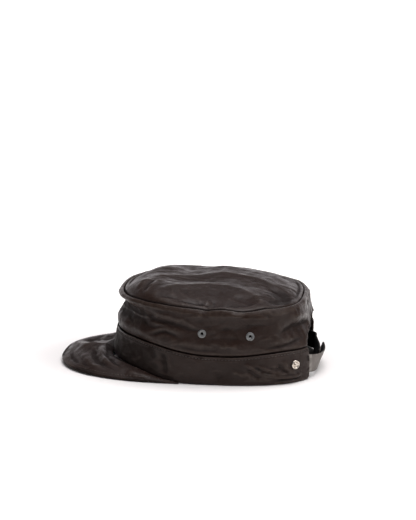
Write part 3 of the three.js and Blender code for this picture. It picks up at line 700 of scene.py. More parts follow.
def top_folds(x, y, folds=TOP_FOLDS):
    places = np.stack([x, y], -1)
    total = np.zeros(x.shape)
    for fold in folds:
        line = [(a * SEAM_HALF_WIDTH, b * SEAM_FRONT_REACH) for a, b in fold["line"]]
        total += fold_height(places, {**fold, "line": line})
    return total


def top_point(angle, ring):
    radius = (seam_radius(angle) - DOME_INSET) * ring
    x, y = radius * np.cos(angle), radius * np.sin(angle)
    middle = (SEAM_BACK_HEIGHT + SEAM_FRONT_HEIGHT) / 2
    edge = mix(middle, even_seam_height(angle), ring) + DOME_EDGE_RISE + seam_rise(angle) * ring**6
    back = within(y / SEAM_FRONT_REACH, -1, 1) ** 3
    fullness = mix(DOME_FRONT_FULLNESS, DOME_BACK_FULLNESS, back)
    rise = mix(DOME_FRONT_RISE, DOME_BACK_RISE, back) * (1 - ring**fullness)
    places = at(angle, radius, 0)
    folds = top_folds(x, y) * smooth((1 - ring) / 0.12)
    line = read(DOME_LINE, "y", "rise", y / SEAM_FRONT_REACH) * smooth((0.45 - x / SEAM_HALF_WIDTH) / 0.5)
    folds = folds + line * smooth((1 - ring) / 0.05)
    lengthwise = places * (1, 0.4, 1)
    fine = 0.3 * ripple(places, 30, 11) + 0.1 * ripple(places, 9, 12)
    fine = fine + 0.4 * drag_lines(lengthwise, 24, 13) - 0.25 * drag_lines(lengthwise, 19, 14)
    fine = fine * smooth((1 - ring) / 0.06)
    return at(angle, radius, edge + rise + folds + fine + seam_pucker(angle) * smooth((ring - 0.9) / 0.1))


def top_panel():
    angle = ring_angles[None, :]
    z = seam_height(angle) + seam_pucker(angle)
    rows = [at(angle, seam_radius(angle) - SEAM_INNER_EDGE - inset, z - seam_drop(angle, drop))
            for inset, drop in TOP_EDGE_ROLL]
    rings = 1 - np.linspace(0, 1, TOP_ROWS) ** 1.12
    for ring in rings[:-1]:
        rows.append(top_point(angle, ring))
    rows.append(np.broadcast_to(rows[-1].mean(1, keepdims=True), rows[-1].shape))
    return np.concatenate(rows)


# Dents and wrinkles of the band, along lines of (degrees round, share of its height)
BAND_FOLDS = [
    dict(line=[(-25.5, 0.95), (-25, 0.78), (-23.5, 0.34), (-23, 0.1)], width=3.4, rise=-1.0),
    dict(line=[(-21.5, 0.85), (-20, 0.35)], width=2.2, rise=0.5),
    dict(line=[(-36, 0.96), (-33, 0.78), (-31, 0.5)], width=3.6, rise=-0.6),
    dict(line=[(-50, 0.85), (-45, 0.30)], width=8, rise=-0.8),
    dict(line=[(26, 0.80), (31, 0.56), (36, 0.38)], width=1.6, rise=2.2, sharp=0.6),
    dict(line=[(28, 0.62), (33, 0.36), (36, 0.2)], width=2.2, rise=-2.0),
    dict(line=[(31, 0.66), (36, 0.46), (42, 0.36)], width=1.5, rise=-1.9),
    dict(line=[(33.5, 0.68), (38, 0.50), (44, 0.42)], width=1.4, rise=1.7, sharp=0.5),
    dict(line=[(35, 0.50), (38, 0.34), (43, 0.28)], width=1.4, rise=1.9, sharp=0.5),
    dict(line=[(39, 0.56), (42, 0.46), (46, 0.52)], width=1.4, rise=-1.5),
    dict(line=[(40, 0.30), (46, 0.22), (53, 0.20), (58, 0.24)], width=1.6, rise=2.4, sharp=0.6),
    dict(line=[(42, 0.16), (50, 0.12), (57, 0.15)], width=1.6, rise=-1.7),
    dict(line=[(46.6, 0.78), (48.3, 0.50), (54, 0.22)], width=1.5, rise=2.0, sharp=0.5),
    dict(line=[(44.4, 0.72), (45.8, 0.48), (50, 0.30)], width=1.6, rise=-1.9),
    dict(line=[(43, 0.36), (47, 0.34), (51, 0.38)], width=1.3, rise=1.5, sharp=0.5),
    dict(line=[(18, 0.50), (24, 0.40), (28, 0.30)], width=2.4, rise=0.7, sharp=1),
    dict(line=[(50, 0.92), (52, 0.70)], width=2.2, rise=-0.5),
    dict(line=[(8, 0.25), (20, 0.35)], width=6, rise=-0.6),
    dict(line=[(-96, 0.2), (-88, 0.8)], width=7, rise=-0.8),
    dict(line=[(-150, 0.2), (-146, 0.8)], width=5, rise=-0.9),
    dict(line=[(-222, 0.7), (-214, 0.4), (-206, 0.3)], width=2.4, rise=0.7),
    dict(line=[(-226, 0.4), (-216, 0.2)], width=2.4, rise=-0.7),
]


def band_folds(angle, level):
    turn = angle / DEGREE
    places = np.stack(np.broadcast_arrays(turn * 1.55, level * 29), -1)
    total = np.zeros(places.shape[:-1])
    for fold in BAND_FOLDS:
        total += fold_height(places, {**fold, "line": [(x * 1.55, y * 29) for x, y in fold["line"]]})
    return total * smooth(level / 0.12)


def band_leather():
    angle = band_angles[None, :]
    steps = np.diff(at(band_angles, band_radius(band_angles), 0), axis=0)
    along = np.cumsum(np.concatenate([[0], np.linalg.norm(steps, axis=-1)]))
    end = np.minimum(along, along[-1] - along)[None, :]

    def corner(radius):
        inside = np.clip(radius - end, 0, radius)
        return radius - np.sqrt(radius**2 - inside**2 + 1e-9)

    foot = band_foot(angle) + corner(BAND_FOOT_CORNER) + BAND_WALL / 2 + BAND_FOOT_LIFT
    top = band_top(angle) - corner(BAND_TOP_CORNER) - BAND_WALL / 2
    rows = []
    for share in np.linspace(0, 1, BAND_ROWS):
        z = mix(foot, top, share)
        places = at(angle, band_radius(angle), z)
        level = (z - band_foot(angle)) / (band_top(angle) - band_foot(angle))
        radius = band_face(angle, level)
        radius = radius - 0.25 * bell((band_top(angle) - z - 2.6) / 0.9)
        radius = radius + 0.3 * ripple(places, 28, 21) * smooth(level / 0.3) + 0.08 * ripple(places, 8, 22)
        lines = 0.12 * drag_lines(places, 18, 23, 0.2) - 0.14 * drag_lines(places, 15, 24, 0.2)
        radius = radius + lines * smooth(level / 0.2)
        radius = radius + band_folds(angle, level)
        rows.append(at(angle, radius, z))
    thinned = smooth((np.arange(BAND_ROWS) - 36) / 7)
    wall = mix(BAND_WALL, BAND_TOP_WALL, thinned)
    return np.concatenate(rows), np.repeat(wall[:, None], len(band_angles), 1)


corner_angle = math.asin(-PEAK_CORNER / float(band_radius(-PEAK_CORNER / BAND_HALF_WIDTH)))
rim_half_width = float(band_radius(corner_angle)) * math.cos(corner_angle) + CLEARANCE + PEAK_CORNER_LAP
rim_reach = PEAK_REACH - PEAK_CORNER


def rim_point(share):
    angle = -math.pi * share
    across = np.abs(np.cos(angle)) / rim_half_width
    along = np.abs(np.sin(angle)) / rim_reach
    radius = (across**RIM_ROUNDNESS + along**RIM_ROUNDNESS) ** (-1 / RIM_ROUNDNESS)
    return np.stack([radius * np.cos(angle), radius * np.sin(angle) - PEAK_CORNER, 0 * radius], -1)


def root_point(share):
    angle = mix(corner_angle, -math.pi - corner_angle, share)
    return at(angle, band_radius(angle) + CLEARANCE, band_foot(angle))


def peak_wall(share):
    return mix(PEAK_CORNER_WALL, PEAK_WALL, smooth(np.sin(math.pi * share) / 0.5))


# Folds of the peak, along lines of (share round from the near corner, share out from the root)
PEAK_FOLDS = [
    dict(line=[(0.56, 1.0), (0.52, 0.84), (0.485, 0.68), (0.455, 0.526), (0.462, 0.364), (0.475, 0.0)],
         width=8, other=8, rise=4.4, sharp=1.2, fade=0.3, ends=0.3),
    dict(line=[(0.60, 0.86), (0.575, 0.66), (0.54, 0.44), (0.52, 0.15)], width=6, rise=-3.2, sharp=1.6),
    dict(line=[(0.46, 0.0), (0.40, 0.12), (0.33, 0.24), (0.26, 0.38), (0.22, 0.48)], width=4,
         rise=-3.0, sharp=1.2),
    dict(line=[(0.47, 0.16), (0.42, 0.22), (0.36, 0.32), (0.29, 0.46), (0.21, 0.58)],
         width=4.5, other=3.5, rise=2.6, sharp=1.0),
    dict(line=[(0.43, 0.36), (0.37, 0.44), (0.31, 0.58), (0.24, 0.66)], width=3.6, rise=-2.2, sharp=1.2),
    dict(line=[(0.43, 0.62), (0.37, 0.66), (0.31, 0.76), (0.24, 0.80)], width=4.5, other=3.5,
         rise=1.8, sharp=1.0),
    dict(line=[(0.45, 0.80), (0.40, 0.84), (0.34, 0.90)], width=3.4, rise=-1.2, sharp=1.2),
    dict(line=[(0.20, 0.74), (0.15, 0.66), (0.10, 0.60)], width=3.5, rise=1.0, sharp=1.2),
    dict(line=[(0.60, 0.10), (0.60, 0.50), (0.61, 0.88)], width=9, rise=-3.0, sharp=3),
    dict(line=[(0.76, 0.10), (0.74, 0.50), (0.70, 0.92)], width=11, rise=2.2, sharp=3),
]


def peak_flat(share, out):
    return mix(root_point(share), rim_point(share), out[..., None])


def peak_point(share, out):
    point = peak_flat(share, out)
    open_share = np.sin(math.pi * clamp(out)) * np.sin(math.pi * share)
    lift = peak_wall(share) + PEAK_ARCH * open_share
    folds = np.zeros_like(share)
    for fold in PEAK_FOLDS:
        corners = np.array(fold["line"])
        line = peak_flat(corners[:, 0], corners[:, 1])[:, :2]
        folds = folds + fold_height(point[..., :2], {**fold, "line": line})
    lift = lift + folds * smooth((1 - out) / 0.2) * smooth(share * (1 - share) / 0.09)
    lift = lift + 0.4 * ripple(point, 30, 31) * open_share + 0.1 * ripple(point, 8, 32) * open_share
    lines = 0.35 * drag_lines(point * (0.7, 1, 0), 20, 33) - 0.3 * drag_lines(point * (0.7, 1, 0), 16, 34)
    lift = lift + lines * smooth(open_share / 0.3)
    rim_lift = PEAK_RIM_LIFT * bell((share - 0.5) / 0.17) * out**2
    far_root_drop = 3.0 * bell((share - 0.62) / 0.10) * bell((out - 0.3) / 0.5)
    root_dip = PEAK_ROOT_DIP * bell(out / 0.07) * smooth(np.sin(math.pi * share) / 0.5)
    point[..., 2] += lift - far_root_drop + rim_lift - root_dip * np.sin(math.pi * share)
    point[..., 2] = np.maximum(point[..., 2], peak_wall(share) + PEAK_FLOOR_GAP)
    return point


peak_shares = np.linspace(1, 0, PEAK_COLUMNS)


def peak_leather():
    outs = np.linspace(0.975, 0.03, PEAK_ROWS)
    rows = [peak_point(peak_shares, np.full_like(peak_shares, out))[None] for out in outs]
    return np.concatenate(rows), np.repeat(peak_wall(peak_shares)[None], PEAK_ROWS, 0)


# The strap ends' ways across the opening, from the band: side as a share of its half width, back as
# a share of the way from the band's end to the reach, foot as a share of the strap's width, and lean
# in degrees
NEAR_COURSE = [
    dict(side=0.86, back=0.545, foot=0.32, lean=4),
    dict(side=0.68, back=0.935, foot=0.22, lean=10),
    dict(side=0.50, back=1.065, foot=0.16, lean=16),
    dict(side=0.28, back=1.090, foot=0.15, lean=22),
    dict(side=0.04, back=1.010, foot=0.14, lean=23),
    dict(side=-0.24, back=0.870, foot=0.12, lean=20),
]
FAR_COURSE = [
    dict(side=-0.88, back=0.465, foot=0.06, lean=2),
    dict(side=-0.68, back=0.465, foot=0.04, lean=6),
    dict(side=-0.45, back=0.562, foot=0.03, lean=10),
    dict(side=-0.22, back=0.669, foot=0.04, lean=14),
    dict(side=0.04, back=0.766, foot=0.03, lean=16),
    dict(side=0.24, back=0.805, foot=0.05, lean=16),
]


# Angle of the band's place at a distance from one end of the opening
def inside_from(opening, distance, direction):
    end = at(opening, band_radius(opening), 0)

    def holds(angle):
        return np.linalg.norm(at(angle, band_radius(angle), 0) - end) < distance

    return angle_while(opening, opening + direction * math.pi / 2, holds)


# Smooth line through points, in even steps, as a Catmull-Rom curve
def through(points, count):
    points = np.asarray(points, float)
    padded = np.vstack([2 * points[0] - points[1], points, 2 * points[-1] - points[-2]])
    out = []
    for t in np.linspace(0, len(points) - 1, count):
        i = min(int(t), len(points) - 2)
        f = t - i
        a, b, c, d = padded[i:i + 4]
        out.append(0.5 * (2 * b + (c - a) * f + (2 * a - 5 * b + 4 * c - d) * f**2
                          + (3 * b - a - 3 * c + d) * f**3))
    return np.array(out)


# Outer face of a strap end: tucked inside the band, then along its course, leaning outwards
def strap_grid(opening, direction, foot, course, inset, columns=110, rows=14):
    stop = inside_from(opening, STRAP_TUCK, direction)
    hidden = np.linspace(stop, opening, 16)
    inside = at(hidden, band_radius(hidden) - BAND_WALL - CLEARANCE, foot)
    start = inside[-1]
    points = [start] + [np.array([row["side"] * OPENING_HALF_WIDTH,
                                  mix(start[1], STRAP_BACK_REACH, row["back"]),
                                  row["foot"] * STRAP_WIDTH]) for row in course]
    line = np.vstack([inside[:-1], through(points, columns)])
    tangent = np.gradient(line, axis=0) * -direction
    tangent[:, 2] = 0
    out = np.stack([tangent[:, 1], -tangent[:, 0], 0 * tangent[:, 0]], -1)
    out /= np.linalg.norm(out, axis=-1, keepdims=True)
    order = sorted(course, key=lambda row: row["side"])
    lean = read(order, "side", "lean", line[:, 0] / OPENING_HALF_WIDTH) * DEGREE
    lean *= np.concatenate([np.zeros(15), smooth(np.arange(columns) / 20)])
    if direction > 0:
        line, out, lean = line[::-1], out[::-1], lean[::-1]
    up = np.stack([0 * lean, 0 * lean, np.cos(lean)], -1) + out * np.sin(lean)[:, None]
    face = np.stack([0 * lean, 0 * lean, -np.sin(lean)], -1) + out * np.cos(lean)[:, None]
    levels = np.linspace(STRAP_LEATHER_WALL / 2, STRAP_WIDTH - STRAP_LEATHER_WALL / 2, rows)
    grid = line[None] + up[None] * levels[:, None, None] - face[None] * inset
    return grid


# Places, headings and facings along a run over a grid of points, at even steps
def along_grid(grid, rows, columns, pitch):
    def sample(values):
        i = np.clip(rows.astype(int), 0, values.shape[0] - 2)
        j = np.clip(columns.astype(int), 0, values.shape[1] - 2)
        u, v = (rows - i)[:, None], (columns - j)[:, None]
        low = values[i, j] * (1 - v) + values[i, j + 1] * v
        high = values[i + 1, j] * (1 - v) + values[i + 1, j + 1] * v
        return low * (1 - u) + high * u

    line, outward = sample(grid), sample(facings(grid))
    length = np.concatenate([[0], np.cumsum(np.linalg.norm(np.diff(line, axis=0), axis=-1))])
    places = np.arange(pitch / 2, length[-1], pitch)
    points = np.stack([np.interp(places, length, line[:, i]) for i in range(3)], -1)
    ahead = np.stack([np.interp(places + 0.4, length, line[:, i]) for i in range(3)], -1)
    behind = np.stack([np.interp(places - 0.4, length, line[:, i]) for i in range(3)], -1)
    out = np.stack([np.interp(places, length, outward[:, i]) for i in range(3)], -1)
    heading = ahead - behind
    return points, heading / np.linalg.norm(heading, axis=-1, keepdims=True), out


# Row of a grid that lies a distance in from its first or last row, column by column
def rows_in(grid, distance, last=False):
    walk = grid[::-1] if last else grid
    length = np.concatenate([np.zeros((1, grid.shape[1])),
                             np.cumsum(np.linalg.norm(np.diff(walk, axis=0), axis=-1), 0)])
    found = np.array([np.interp(distance, length[:, j], np.arange(len(grid))) for j in range(grid.shape[1])])
    return len(grid) - 1 - found if last else found


# One stitch, modelled as by hand and then set along the seams
def one_stitch():
    bpy.ops.object.select_all(action="DESELECT")
    bpy.ops.mesh.primitive_uv_sphere_add(segments=8, ring_count=6, radius=1, location=(0, 0, 0))
    ball = bpy.context.object
    bpy.ops.object.mode_set(mode="EDIT")
    bpy.ops.mesh.select_all(action="SELECT")
    bpy.ops.transform.rotate(value=math.pi / 2, orient_axis="Y", center_override=(0, 0, 0))
    bpy.ops.transform.resize(value=(STITCH_LENGTH / 2, STITCH_WIDTH / 2, STITCH_WIDTH / 2),
                             center_override=(0, 0, 0))
    bpy.ops.object.mode_set(mode="OBJECT")
    points = np.array([tuple(vert.co) for vert in ball.data.vertices])
    faces = [tuple(face.vertices) for face in ball.data.polygons]
    bpy.data.objects.remove(ball)
    points[:, 2] -= 0.12 * (points[:, 0] / (STITCH_LENGTH / 2)) ** 2
    return points, faces


STITCH = one_stitch()


def stitches(name, runs):
    points, faces = [], []
    shape, shape_faces = STITCH
    for places, headings, facings in runs:
        for place, heading, facing in zip(places, headings, facings):
            sideways = np.cross(facing, heading)
            sideways /= np.linalg.norm(sideways)
            facing = np.cross(heading, sideways)
            turned = shape @ np.stack([heading, sideways, facing])
            base = len(points) * len(shape)
            faces += [tuple(base + i for i in face) for face in shape_faces]
            points.append(turned + place + facing * STITCH_LIFT)
    mesh = bpy.data.meshes.new(name)
    mesh.from_pydata(place_of(np.concatenate(points)).tolist(), [], faces)
    mesh.shade_smooth()
    return as_piece(name, mesh)


# Eyelet: a rolled washer with a barrel through the leather and a flange behind, as (radius, height)
EYELET_PROFILE = [(1.3, -2.3), (2.2, -2.45), (3.4, -2.3), (3.6, -2.0), (3.4, -1.7), (2.3, -1.6), (2.2, -0.2),
                  (3.9, -0.15), (4.1, 0.1), (4.05, 0.4), (3.75, 0.68), (3.1, 0.82), (2.3, 0.78), (1.7, 0.55),
                  (1.4, 0.2), (1.3, -0.2), (1.3, -2.3)]

# Snap: a cap with a raised rim and a boss, a post through the band and the strap, and a flange behind
SNAP_PROFILE = [(0, -5.4), (3.3, -5.4), (3.5, -5.2), (3.5, -4.8), (3.3, -4.65), (1.5, -4.6), (1.5, -0.1),
                (4.2, -0.1), (4.5, 0.15), (4.55, 0.6), (4.4, 1.1), (4.05, 1.5), (3.6, 1.62), (3.2, 1.45),
                (2.95, 1.0), (2.75, 0.85), (2.3, 0.85), (2.1, 1.0), (1.95, 1.5), (1.7, 1.85), (1.1, 2.08),
                (0, 2.2)]


# Round metal part, spun about +Z from its profile
def spun(name, profile, sides=40):
    bpy.ops.object.select_all(action="DESELECT")
    bpy.ops.mesh.primitive_plane_add(size=1, location=(0, 0, 0))
    piece = bpy.context.object
    piece.name = name
    bpy.ops.object.mode_set(mode="EDIT")
    bpy.ops.mesh.select_all(action="SELECT")
    bpy.ops.mesh.delete(type="VERT")
    bpy.ops.object.mode_set(mode="OBJECT")
    work = bmesh.new()
    verts = [work.verts.new((radius, 0, height)) for radius, height in profile]
    for a, b in zip(verts, verts[1:]):
        work.edges.new((a, b))
    work.to_mesh(piece.data)
    work.free()
    bpy.ops.object.mode_set(mode="EDIT")
    bpy.ops.mesh.select_all(action="SELECT")
    bpy.ops.mesh.spin(steps=sides, angle=TURN, center=(0, 0, 0), axis=(0, 0, 1))
    bpy.ops.mesh.select_all(action="SELECT")
    bpy.ops.mesh.remove_doubles(threshold=0.0005)
    bpy.ops.mesh.normals_make_consistent(inside=False)
    bpy.ops.object.mode_set(mode="OBJECT")
    bpy.ops.object.shade_smooth_by_angle(angle=50 * DEGREE)
    return piece


def seat_on(point, facing):
    turn = Vector((0, 0, 1)).rotation_difference(Vector(facing)).to_matrix().to_4x4()
    place = Matrix.Translation(Vector(place_of(point)))
    return place @ turn @ Matrix.Scale(MM, 4)


# Materials: their parts first, then the leathers and metals
def new_material(name):
    material = bpy.data.materials.new(name)
    material.use_nodes = True
    nodes = material.node_tree.nodes
    return material, nodes, material.node_tree.links, nodes["Principled BSDF"]


def noise_node(nodes, links, place, size, detail=3, rough=0.5):
    node = nodes.new("ShaderNodeTexNoise")
    node.inputs["Scale"].default_value = 1 / (size * MM)
    node.inputs["Detail"].default_value = detail
    node.inputs["Roughness"].default_value = rough
    links.new(place.outputs["Object"], node.inputs["Vector"])
    return node.outputs["Fac"]


def ranged(nodes, links, value, low, high, to_low, to_high):
    node = nodes.new("ShaderNodeMapRange")
    node.interpolation_type = "SMOOTHSTEP"
    node.inputs["From Min"].default_value = low
    node.inputs["From Max"].default_value = high
    node.inputs["To Min"].default_value = to_low
    node.inputs["To Max"].default_value = to_high
    links.new(value, node.inputs["Value"])
    return node.outputs["Result"]


def blended(nodes, links, share, low, high):
    node = nodes.new("ShaderNodeMix")
    node.data_type = "RGBA"
    for socket, value in ((node.inputs[6], low), (node.inputs[7], high)):
        if isinstance(value, tuple):
            socket.default_value = (*value, 1)
        else:
            links.new(value, socket)
    links.new(share, node.inputs[0])
    return node.outputs[2]


def summed(nodes, links, first, second, operation="ADD"):
    node = nodes.new("ShaderNodeMath")
    node.operation = operation
    for i, value in enumerate((first, second)):
        if isinstance(value, (int, float)):
            node.inputs[i].default_value = value
        else:
            links.new(value, node.inputs[i])
    return node.outputs[0]


def bumped(nodes, links, height, distance, strength, under=None):
    node = nodes.new("ShaderNodeBump")
    node.inputs["Distance"].default_value = distance * MM
    node.inputs["Strength"].default_value = strength
    links.new(height, node.inputs["Height"])
    if under is not None:
        links.new(under, node.inputs["Normal"])
    return node.outputs["Normal"]


def kept_value(nodes, name):
    node = nodes.new("ShaderNodeAttribute")
    node.attribute_name = name
    return node.outputs["Fac"]


# Two tones in soft clouds with specks, rubbed lighter on crests and edges with painted highlight on rows
# marked for it, and painted shade in creases, seams and hollows
def leather_tone(nodes, links, place, wear_and_painted_light, dark, light, rubbed_and_highlight):
    clouds = ranged(nodes, links, noise_node(nodes, links, place, 28, 4), 0.36, 0.66, 0, 1)
    specks = noise_node(nodes, links, place, 3.2, 4, 0.6)
    tone = blended(nodes, links, clouds, dark, light)
    tone = blended(nodes, links, ranged(nodes, links, specks, 0.45, 0.75, 0, 0.35), tone, light)
    # Rubbed wear on crests, and painted highlight on rows marked with a negative amount
    crest = ranged(nodes, links, wear_and_painted_light, 0.15, 0.9, 0, 1)
    crest = summed(nodes, links, crest, ranged(nodes, links, specks, 0.3, 0.7, 0.35, 1), "MULTIPLY")
    tone = blended(nodes, links, crest, tone, rubbed_and_highlight)
    # Painted shade: creases and rows marked with painted shade go towards 0.45 of the dark tone
    crease = ranged(nodes, links, wear_and_painted_light, -0.9, -0.1, 0.75, 0)
    return blended(nodes, links, crease, tone, tuple(v * 0.45 for v in dark))


# Uneven gloss, higher on rubbed crests, lower in creases and lowest on the napped flesh side
def leather_roughness(nodes, links, place, wear_and_painted_light, inside, gloss):
    rough = ranged(nodes, links, noise_node(nodes, links, place, 9, 4), 0.3, 0.7, *gloss)
    rough = summed(nodes, links, rough, ranged(nodes, links, wear_and_painted_light, 0.1, 0.9, 0, -0.07))
    rough = summed(nodes, links, rough, ranged(nodes, links, wear_and_painted_light, -1, -0.2, 0.3, 0))
    return summed(nodes, links, rough, ranged(nodes, links, inside, 0.35, 0.65, 0, 0.45))


# Pebbled grain over fine wrinkles and the valleys between them
def leather_grain(nodes, links, place, grain_size):
    pebbles = nodes.new("ShaderNodeTexVoronoi")
    pebbles.feature = "SMOOTH_F1"
    pebbles.inputs["Smoothness"].default_value = 0.35
    pebbles.inputs["Scale"].default_value = 1 / (grain_size * MM)
    links.new(place.outputs["Object"], pebbles.inputs["Vector"])
    wrinkles = noise_node(nodes, links, place, 4.5, 5, 0.62)
    valleys = ranged(nodes, links, summed(nodes, links, wrinkles, 0.5, "SUBTRACT"), -0.05, 0.05, 0, 1)
    valleys = summed(nodes, links, valleys, summed(nodes, links, 1, valleys, "SUBTRACT"), "MULTIPLY")
    normal = bumped(nodes, links, valleys, -0.3, 0.55)
    normal = bumped(nodes, links, wrinkles, 0.45, 0.35, normal)
    return bumped(nodes, links, pebbles.outputs["Distance"], -0.14, 0.6, normal)


def leather(name, dark, light, rubbed_and_highlight, flesh, gloss=(0.34, 0.52), grain_size=0.7, specular=0.22):
    material, nodes, links, shader = new_material(name)
    place = nodes.new("ShaderNodeTexCoord")
    wear_and_painted_light, inside = kept_value(nodes, "wear_and_painted_light"), kept_value(nodes, "inside")
    tone = leather_tone(nodes, links, place, wear_and_painted_light, dark, light, rubbed_and_highlight)
    tone = blended(nodes, links, ranged(nodes, links, inside, 0.35, 0.65, 0, 1), tone, flesh)
    links.new(tone, shader.inputs["Base Color"])
    links.new(leather_roughness(nodes, links, place, wear_and_painted_light, inside, gloss), shader.inputs["Roughness"])
    shader.inputs["Specular IOR Level"].default_value = specular
    links.new(leather_grain(nodes, links, place, grain_size), shader.inputs["Normal"])
    return material


# Metal in two shades of soft spots, with fine scratches
def metal(name, colour, rough, size=2.5):
    material, nodes, links, shader = new_material(name)
    place = nodes.new("ShaderNodeTexCoord")
    shader.inputs["Metallic"].default_value = 1
    spots = noise_node(nodes, links, place, size, 4)
    shade = blended(nodes, links, ranged(nodes, links, spots, 0.35, 0.7, 0, 1),
                    tuple(v * 0.72 for v in colour), colour)
    links.new(shade, shader.inputs["Base Color"])
    links.new(ranged(nodes, links, spots, 0.3, 0.7, rough + 0.12, rough - 0.05), shader.inputs["Roughness"])
    scratches = noise_node(nodes, links, place, 0.25, 3)
    links.new(bumped(nodes, links, scratches, 0.02, 0.3), shader.inputs["Normal"])
    return material


cap_leather = leather("dark cap leather", (0.0145, 0.0066, 0.0043), (0.0190, 0.0094, 0.0067),
                      (0.036, 0.024, 0.0185), (0.012, 0.0065, 0.005))
# The strap leather's light grey tone is a painted sheen from grazing light
strap_leather = leather("strap leather with painted sheen", (0.115, 0.101, 0.089), (0.177, 0.158, 0.146),
                        (0.30, 0.28, 0.26), (0.02, 0.018, 0.016), gloss=(0.5, 0.62))
webbing = leather("black webbing", (0.003, 0.003, 0.003), (0.006, 0.006, 0.006), (0.01, 0.01, 0.01),
                  (0.004, 0.004, 0.004), gloss=(0.7, 0.85))
thread = leather("dark thread", (0.05, 0.042, 0.037), (0.085, 0.072, 0.064), (0.12, 0.105, 0.095),
                 (0.02, 0.016, 0.014), gloss=(0.45, 0.6))
washer_metal = metal("matt grey washer", (0.235, 0.24, 0.24), 0.5)
snap_metal = metal("warm polished snap", (0.70, 0.63, 0.55), 0.22)


# A finished piece has its material, rides on the cap's one body and stands for its CAD nodes
def finish(piece, material, slot, *nodes):
    piece.data.materials.clear()
    piece.data.materials.append(material)
    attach(piece, "root")
    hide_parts(*nodes)


# Eyelets and snaps sit on the leather, by the surface that faces out there
def side_face(angle, z):
    return at(angle, side_radius(np.asarray(angle), z), z)


def seat(face, angle, z):
    place = face(angle, z)
    sideways = face(angle + 0.02, z) - face(angle - 0.02, z)
    upward = face(angle, z + 1.5) - face(angle, z - 1.5)
    facing = np.cross(sideways, upward)
    return place, facing / np.linalg.norm(facing)


# Angle of the side panel's place at a distance back from the oval's centre
def eyelet_angle(y, z):
    return angle_while(-math.pi / 2, math.pi / 2,
                       lambda angle: float(side_radius(np.asarray(angle), z)) * math.sin(angle) < y)


eyelet_seats = {}
for end, y, z in (("front", EYELET_FRONT, EYELET_HEIGHT),
                  ("back", EYELET_BACK, EYELET_HEIGHT - EYELET_BACK_DROP)):
    angle = eyelet_angle(y, z)
    eyelet_seats["eyelet_near_" + end] = seat(side_face, angle, z)
    eyelet_seats["eyelet_far_" + end] = seat(side_face, -math.pi - angle, z)
holes = [(place, EYELET_HOLE) for place, facing in eyelet_seats.values()]

# Side panel, with painted shade along both seams and in the pocket under its front roll, fading lower down at
# the front
side = side_panel()
foot_rows, low_rows, pocket_rows, seam_rows = slice(0, 4), slice(4, 38), slice(38, 53), slice(-4, None)
pocket_painted_shade = within(-np.sin(ring_angles), 0.50, 0.85)
piece = leather_piece("side_panel", side, CROWN_WALL, ring=True, holes=holes,
                      painted_shade_rows=[(foot_rows, 1.2), (seam_rows, 1.6 * groove(ring_angles)),
                              (pocket_rows, 1.3 * pocket_painted_shade), (low_rows, 0.6 * pocket_painted_shade)])
finish(piece, cap_leather, "leather", "crown_side")

# Top panel, with painted shade in its seam and its rear hollow
top = top_panel()
seam_rows, dome_rows = slice(0, 6), slice(6, None)
hollow_painted_shade = top_folds(top[dome_rows, :, 0], top[dome_rows, :, 1], TOP_HOLLOW_SHADE)
piece = leather_piece("top_panel", top, CROWN_WALL, ring=True, pole=True,
                      painted_shade_rows=[(seam_rows, 1.8 * groove(ring_angles)), (dome_rows, hollow_painted_shade)])
finish(piece, cap_leather, "leather", "crown_top")

# Band, with painted shadow above the peak and painted shade round the front, and painted highlight along its
# top edge and its crinkles
band, band_walls = band_leather()
peak_junction_shadow = within(forward(band_angles), 0.2, 0.3)
front_painted_shade = within(forward(band_angles), 0.2, 0.6)
crinkle_painted_highlight = bell((band_angles / DEGREE - 37) / 10)
foot_rows, face_rows, crinkled_rows, top_rows = slice(0, 7), slice(0, -1), slice(5, 22), slice(-1, None)
piece = leather_piece("band_leather", band, band_walls,
                      painted_shade_rows=[(foot_rows, 1.4 * peak_junction_shadow), (face_rows, 1.0 * front_painted_shade),
                              (crinkled_rows, -1.0 * crinkle_painted_highlight), (top_rows, -0.9)])
finish(piece, cap_leather, "leather", "band")

# Peak, with painted shadow under the band and painted shade on its far half and in its near trough
peak, peak_walls = peak_leather()
far_half_shade = within(peak_shares, 0.53, 0.62)
near_trough_shade = bell((peak_shares - 0.36) / 0.08)
root_rows, face_rows, trough_rows = slice(-7, None), slice(0, -7), slice(8, 44)
piece = leather_piece("peak_leather", peak, peak_walls, drop=(0, 0, 1),
                      painted_shade_rows=[(root_rows, 1.9), (face_rows, 0.6 * far_half_shade),
                              (trough_rows, 0.5 * near_trough_shade)])
finish(piece, cap_leather, "leather", "peak")

# Strap ends: leather outside, its light grey a painted sheen, and black webbing inside
for side_name, opening, direction, foot, course in (
        ("near", OPENING_NEAR, -1, STRAP_NEAR_FOOT, NEAR_COURSE),
        ("far", OPENING_FAR, 1, STRAP_FAR_FOOT, FAR_COURSE)):
    grid = strap_grid(opening, direction, foot, course, 0)
    piece = leather_piece("strap_%s_leather" % side_name, grid, STRAP_LEATHER_WALL, steps=4)
    finish(piece, strap_leather, "strap_leather", "strap_%s" % side_name)
    grid = strap_grid(opening, direction, foot, course, STRAP_LEATHER_WALL + STRAP_LAYER_GAP)
    piece = leather_piece("strap_%s_webbing" % side_name, grid, STRAP_WEBBING_WALL, steps=4)
    finish(piece, webbing, "strap_leather", "strap_%s" % side_name)

# Eyelets
for node, (place, facing) in eyelet_seats.items():
    piece = spun(node + "_washer", EYELET_PROFILE)
    piece.data.transform(seat_on(place - facing * EYELET_SINK, facing))
    finish(piece, washer_metal, "washer_metal", node)


# Snaps
def band_outside(angle, z):
    return at(angle, band_radius(angle) + SNAP_STAND, z)


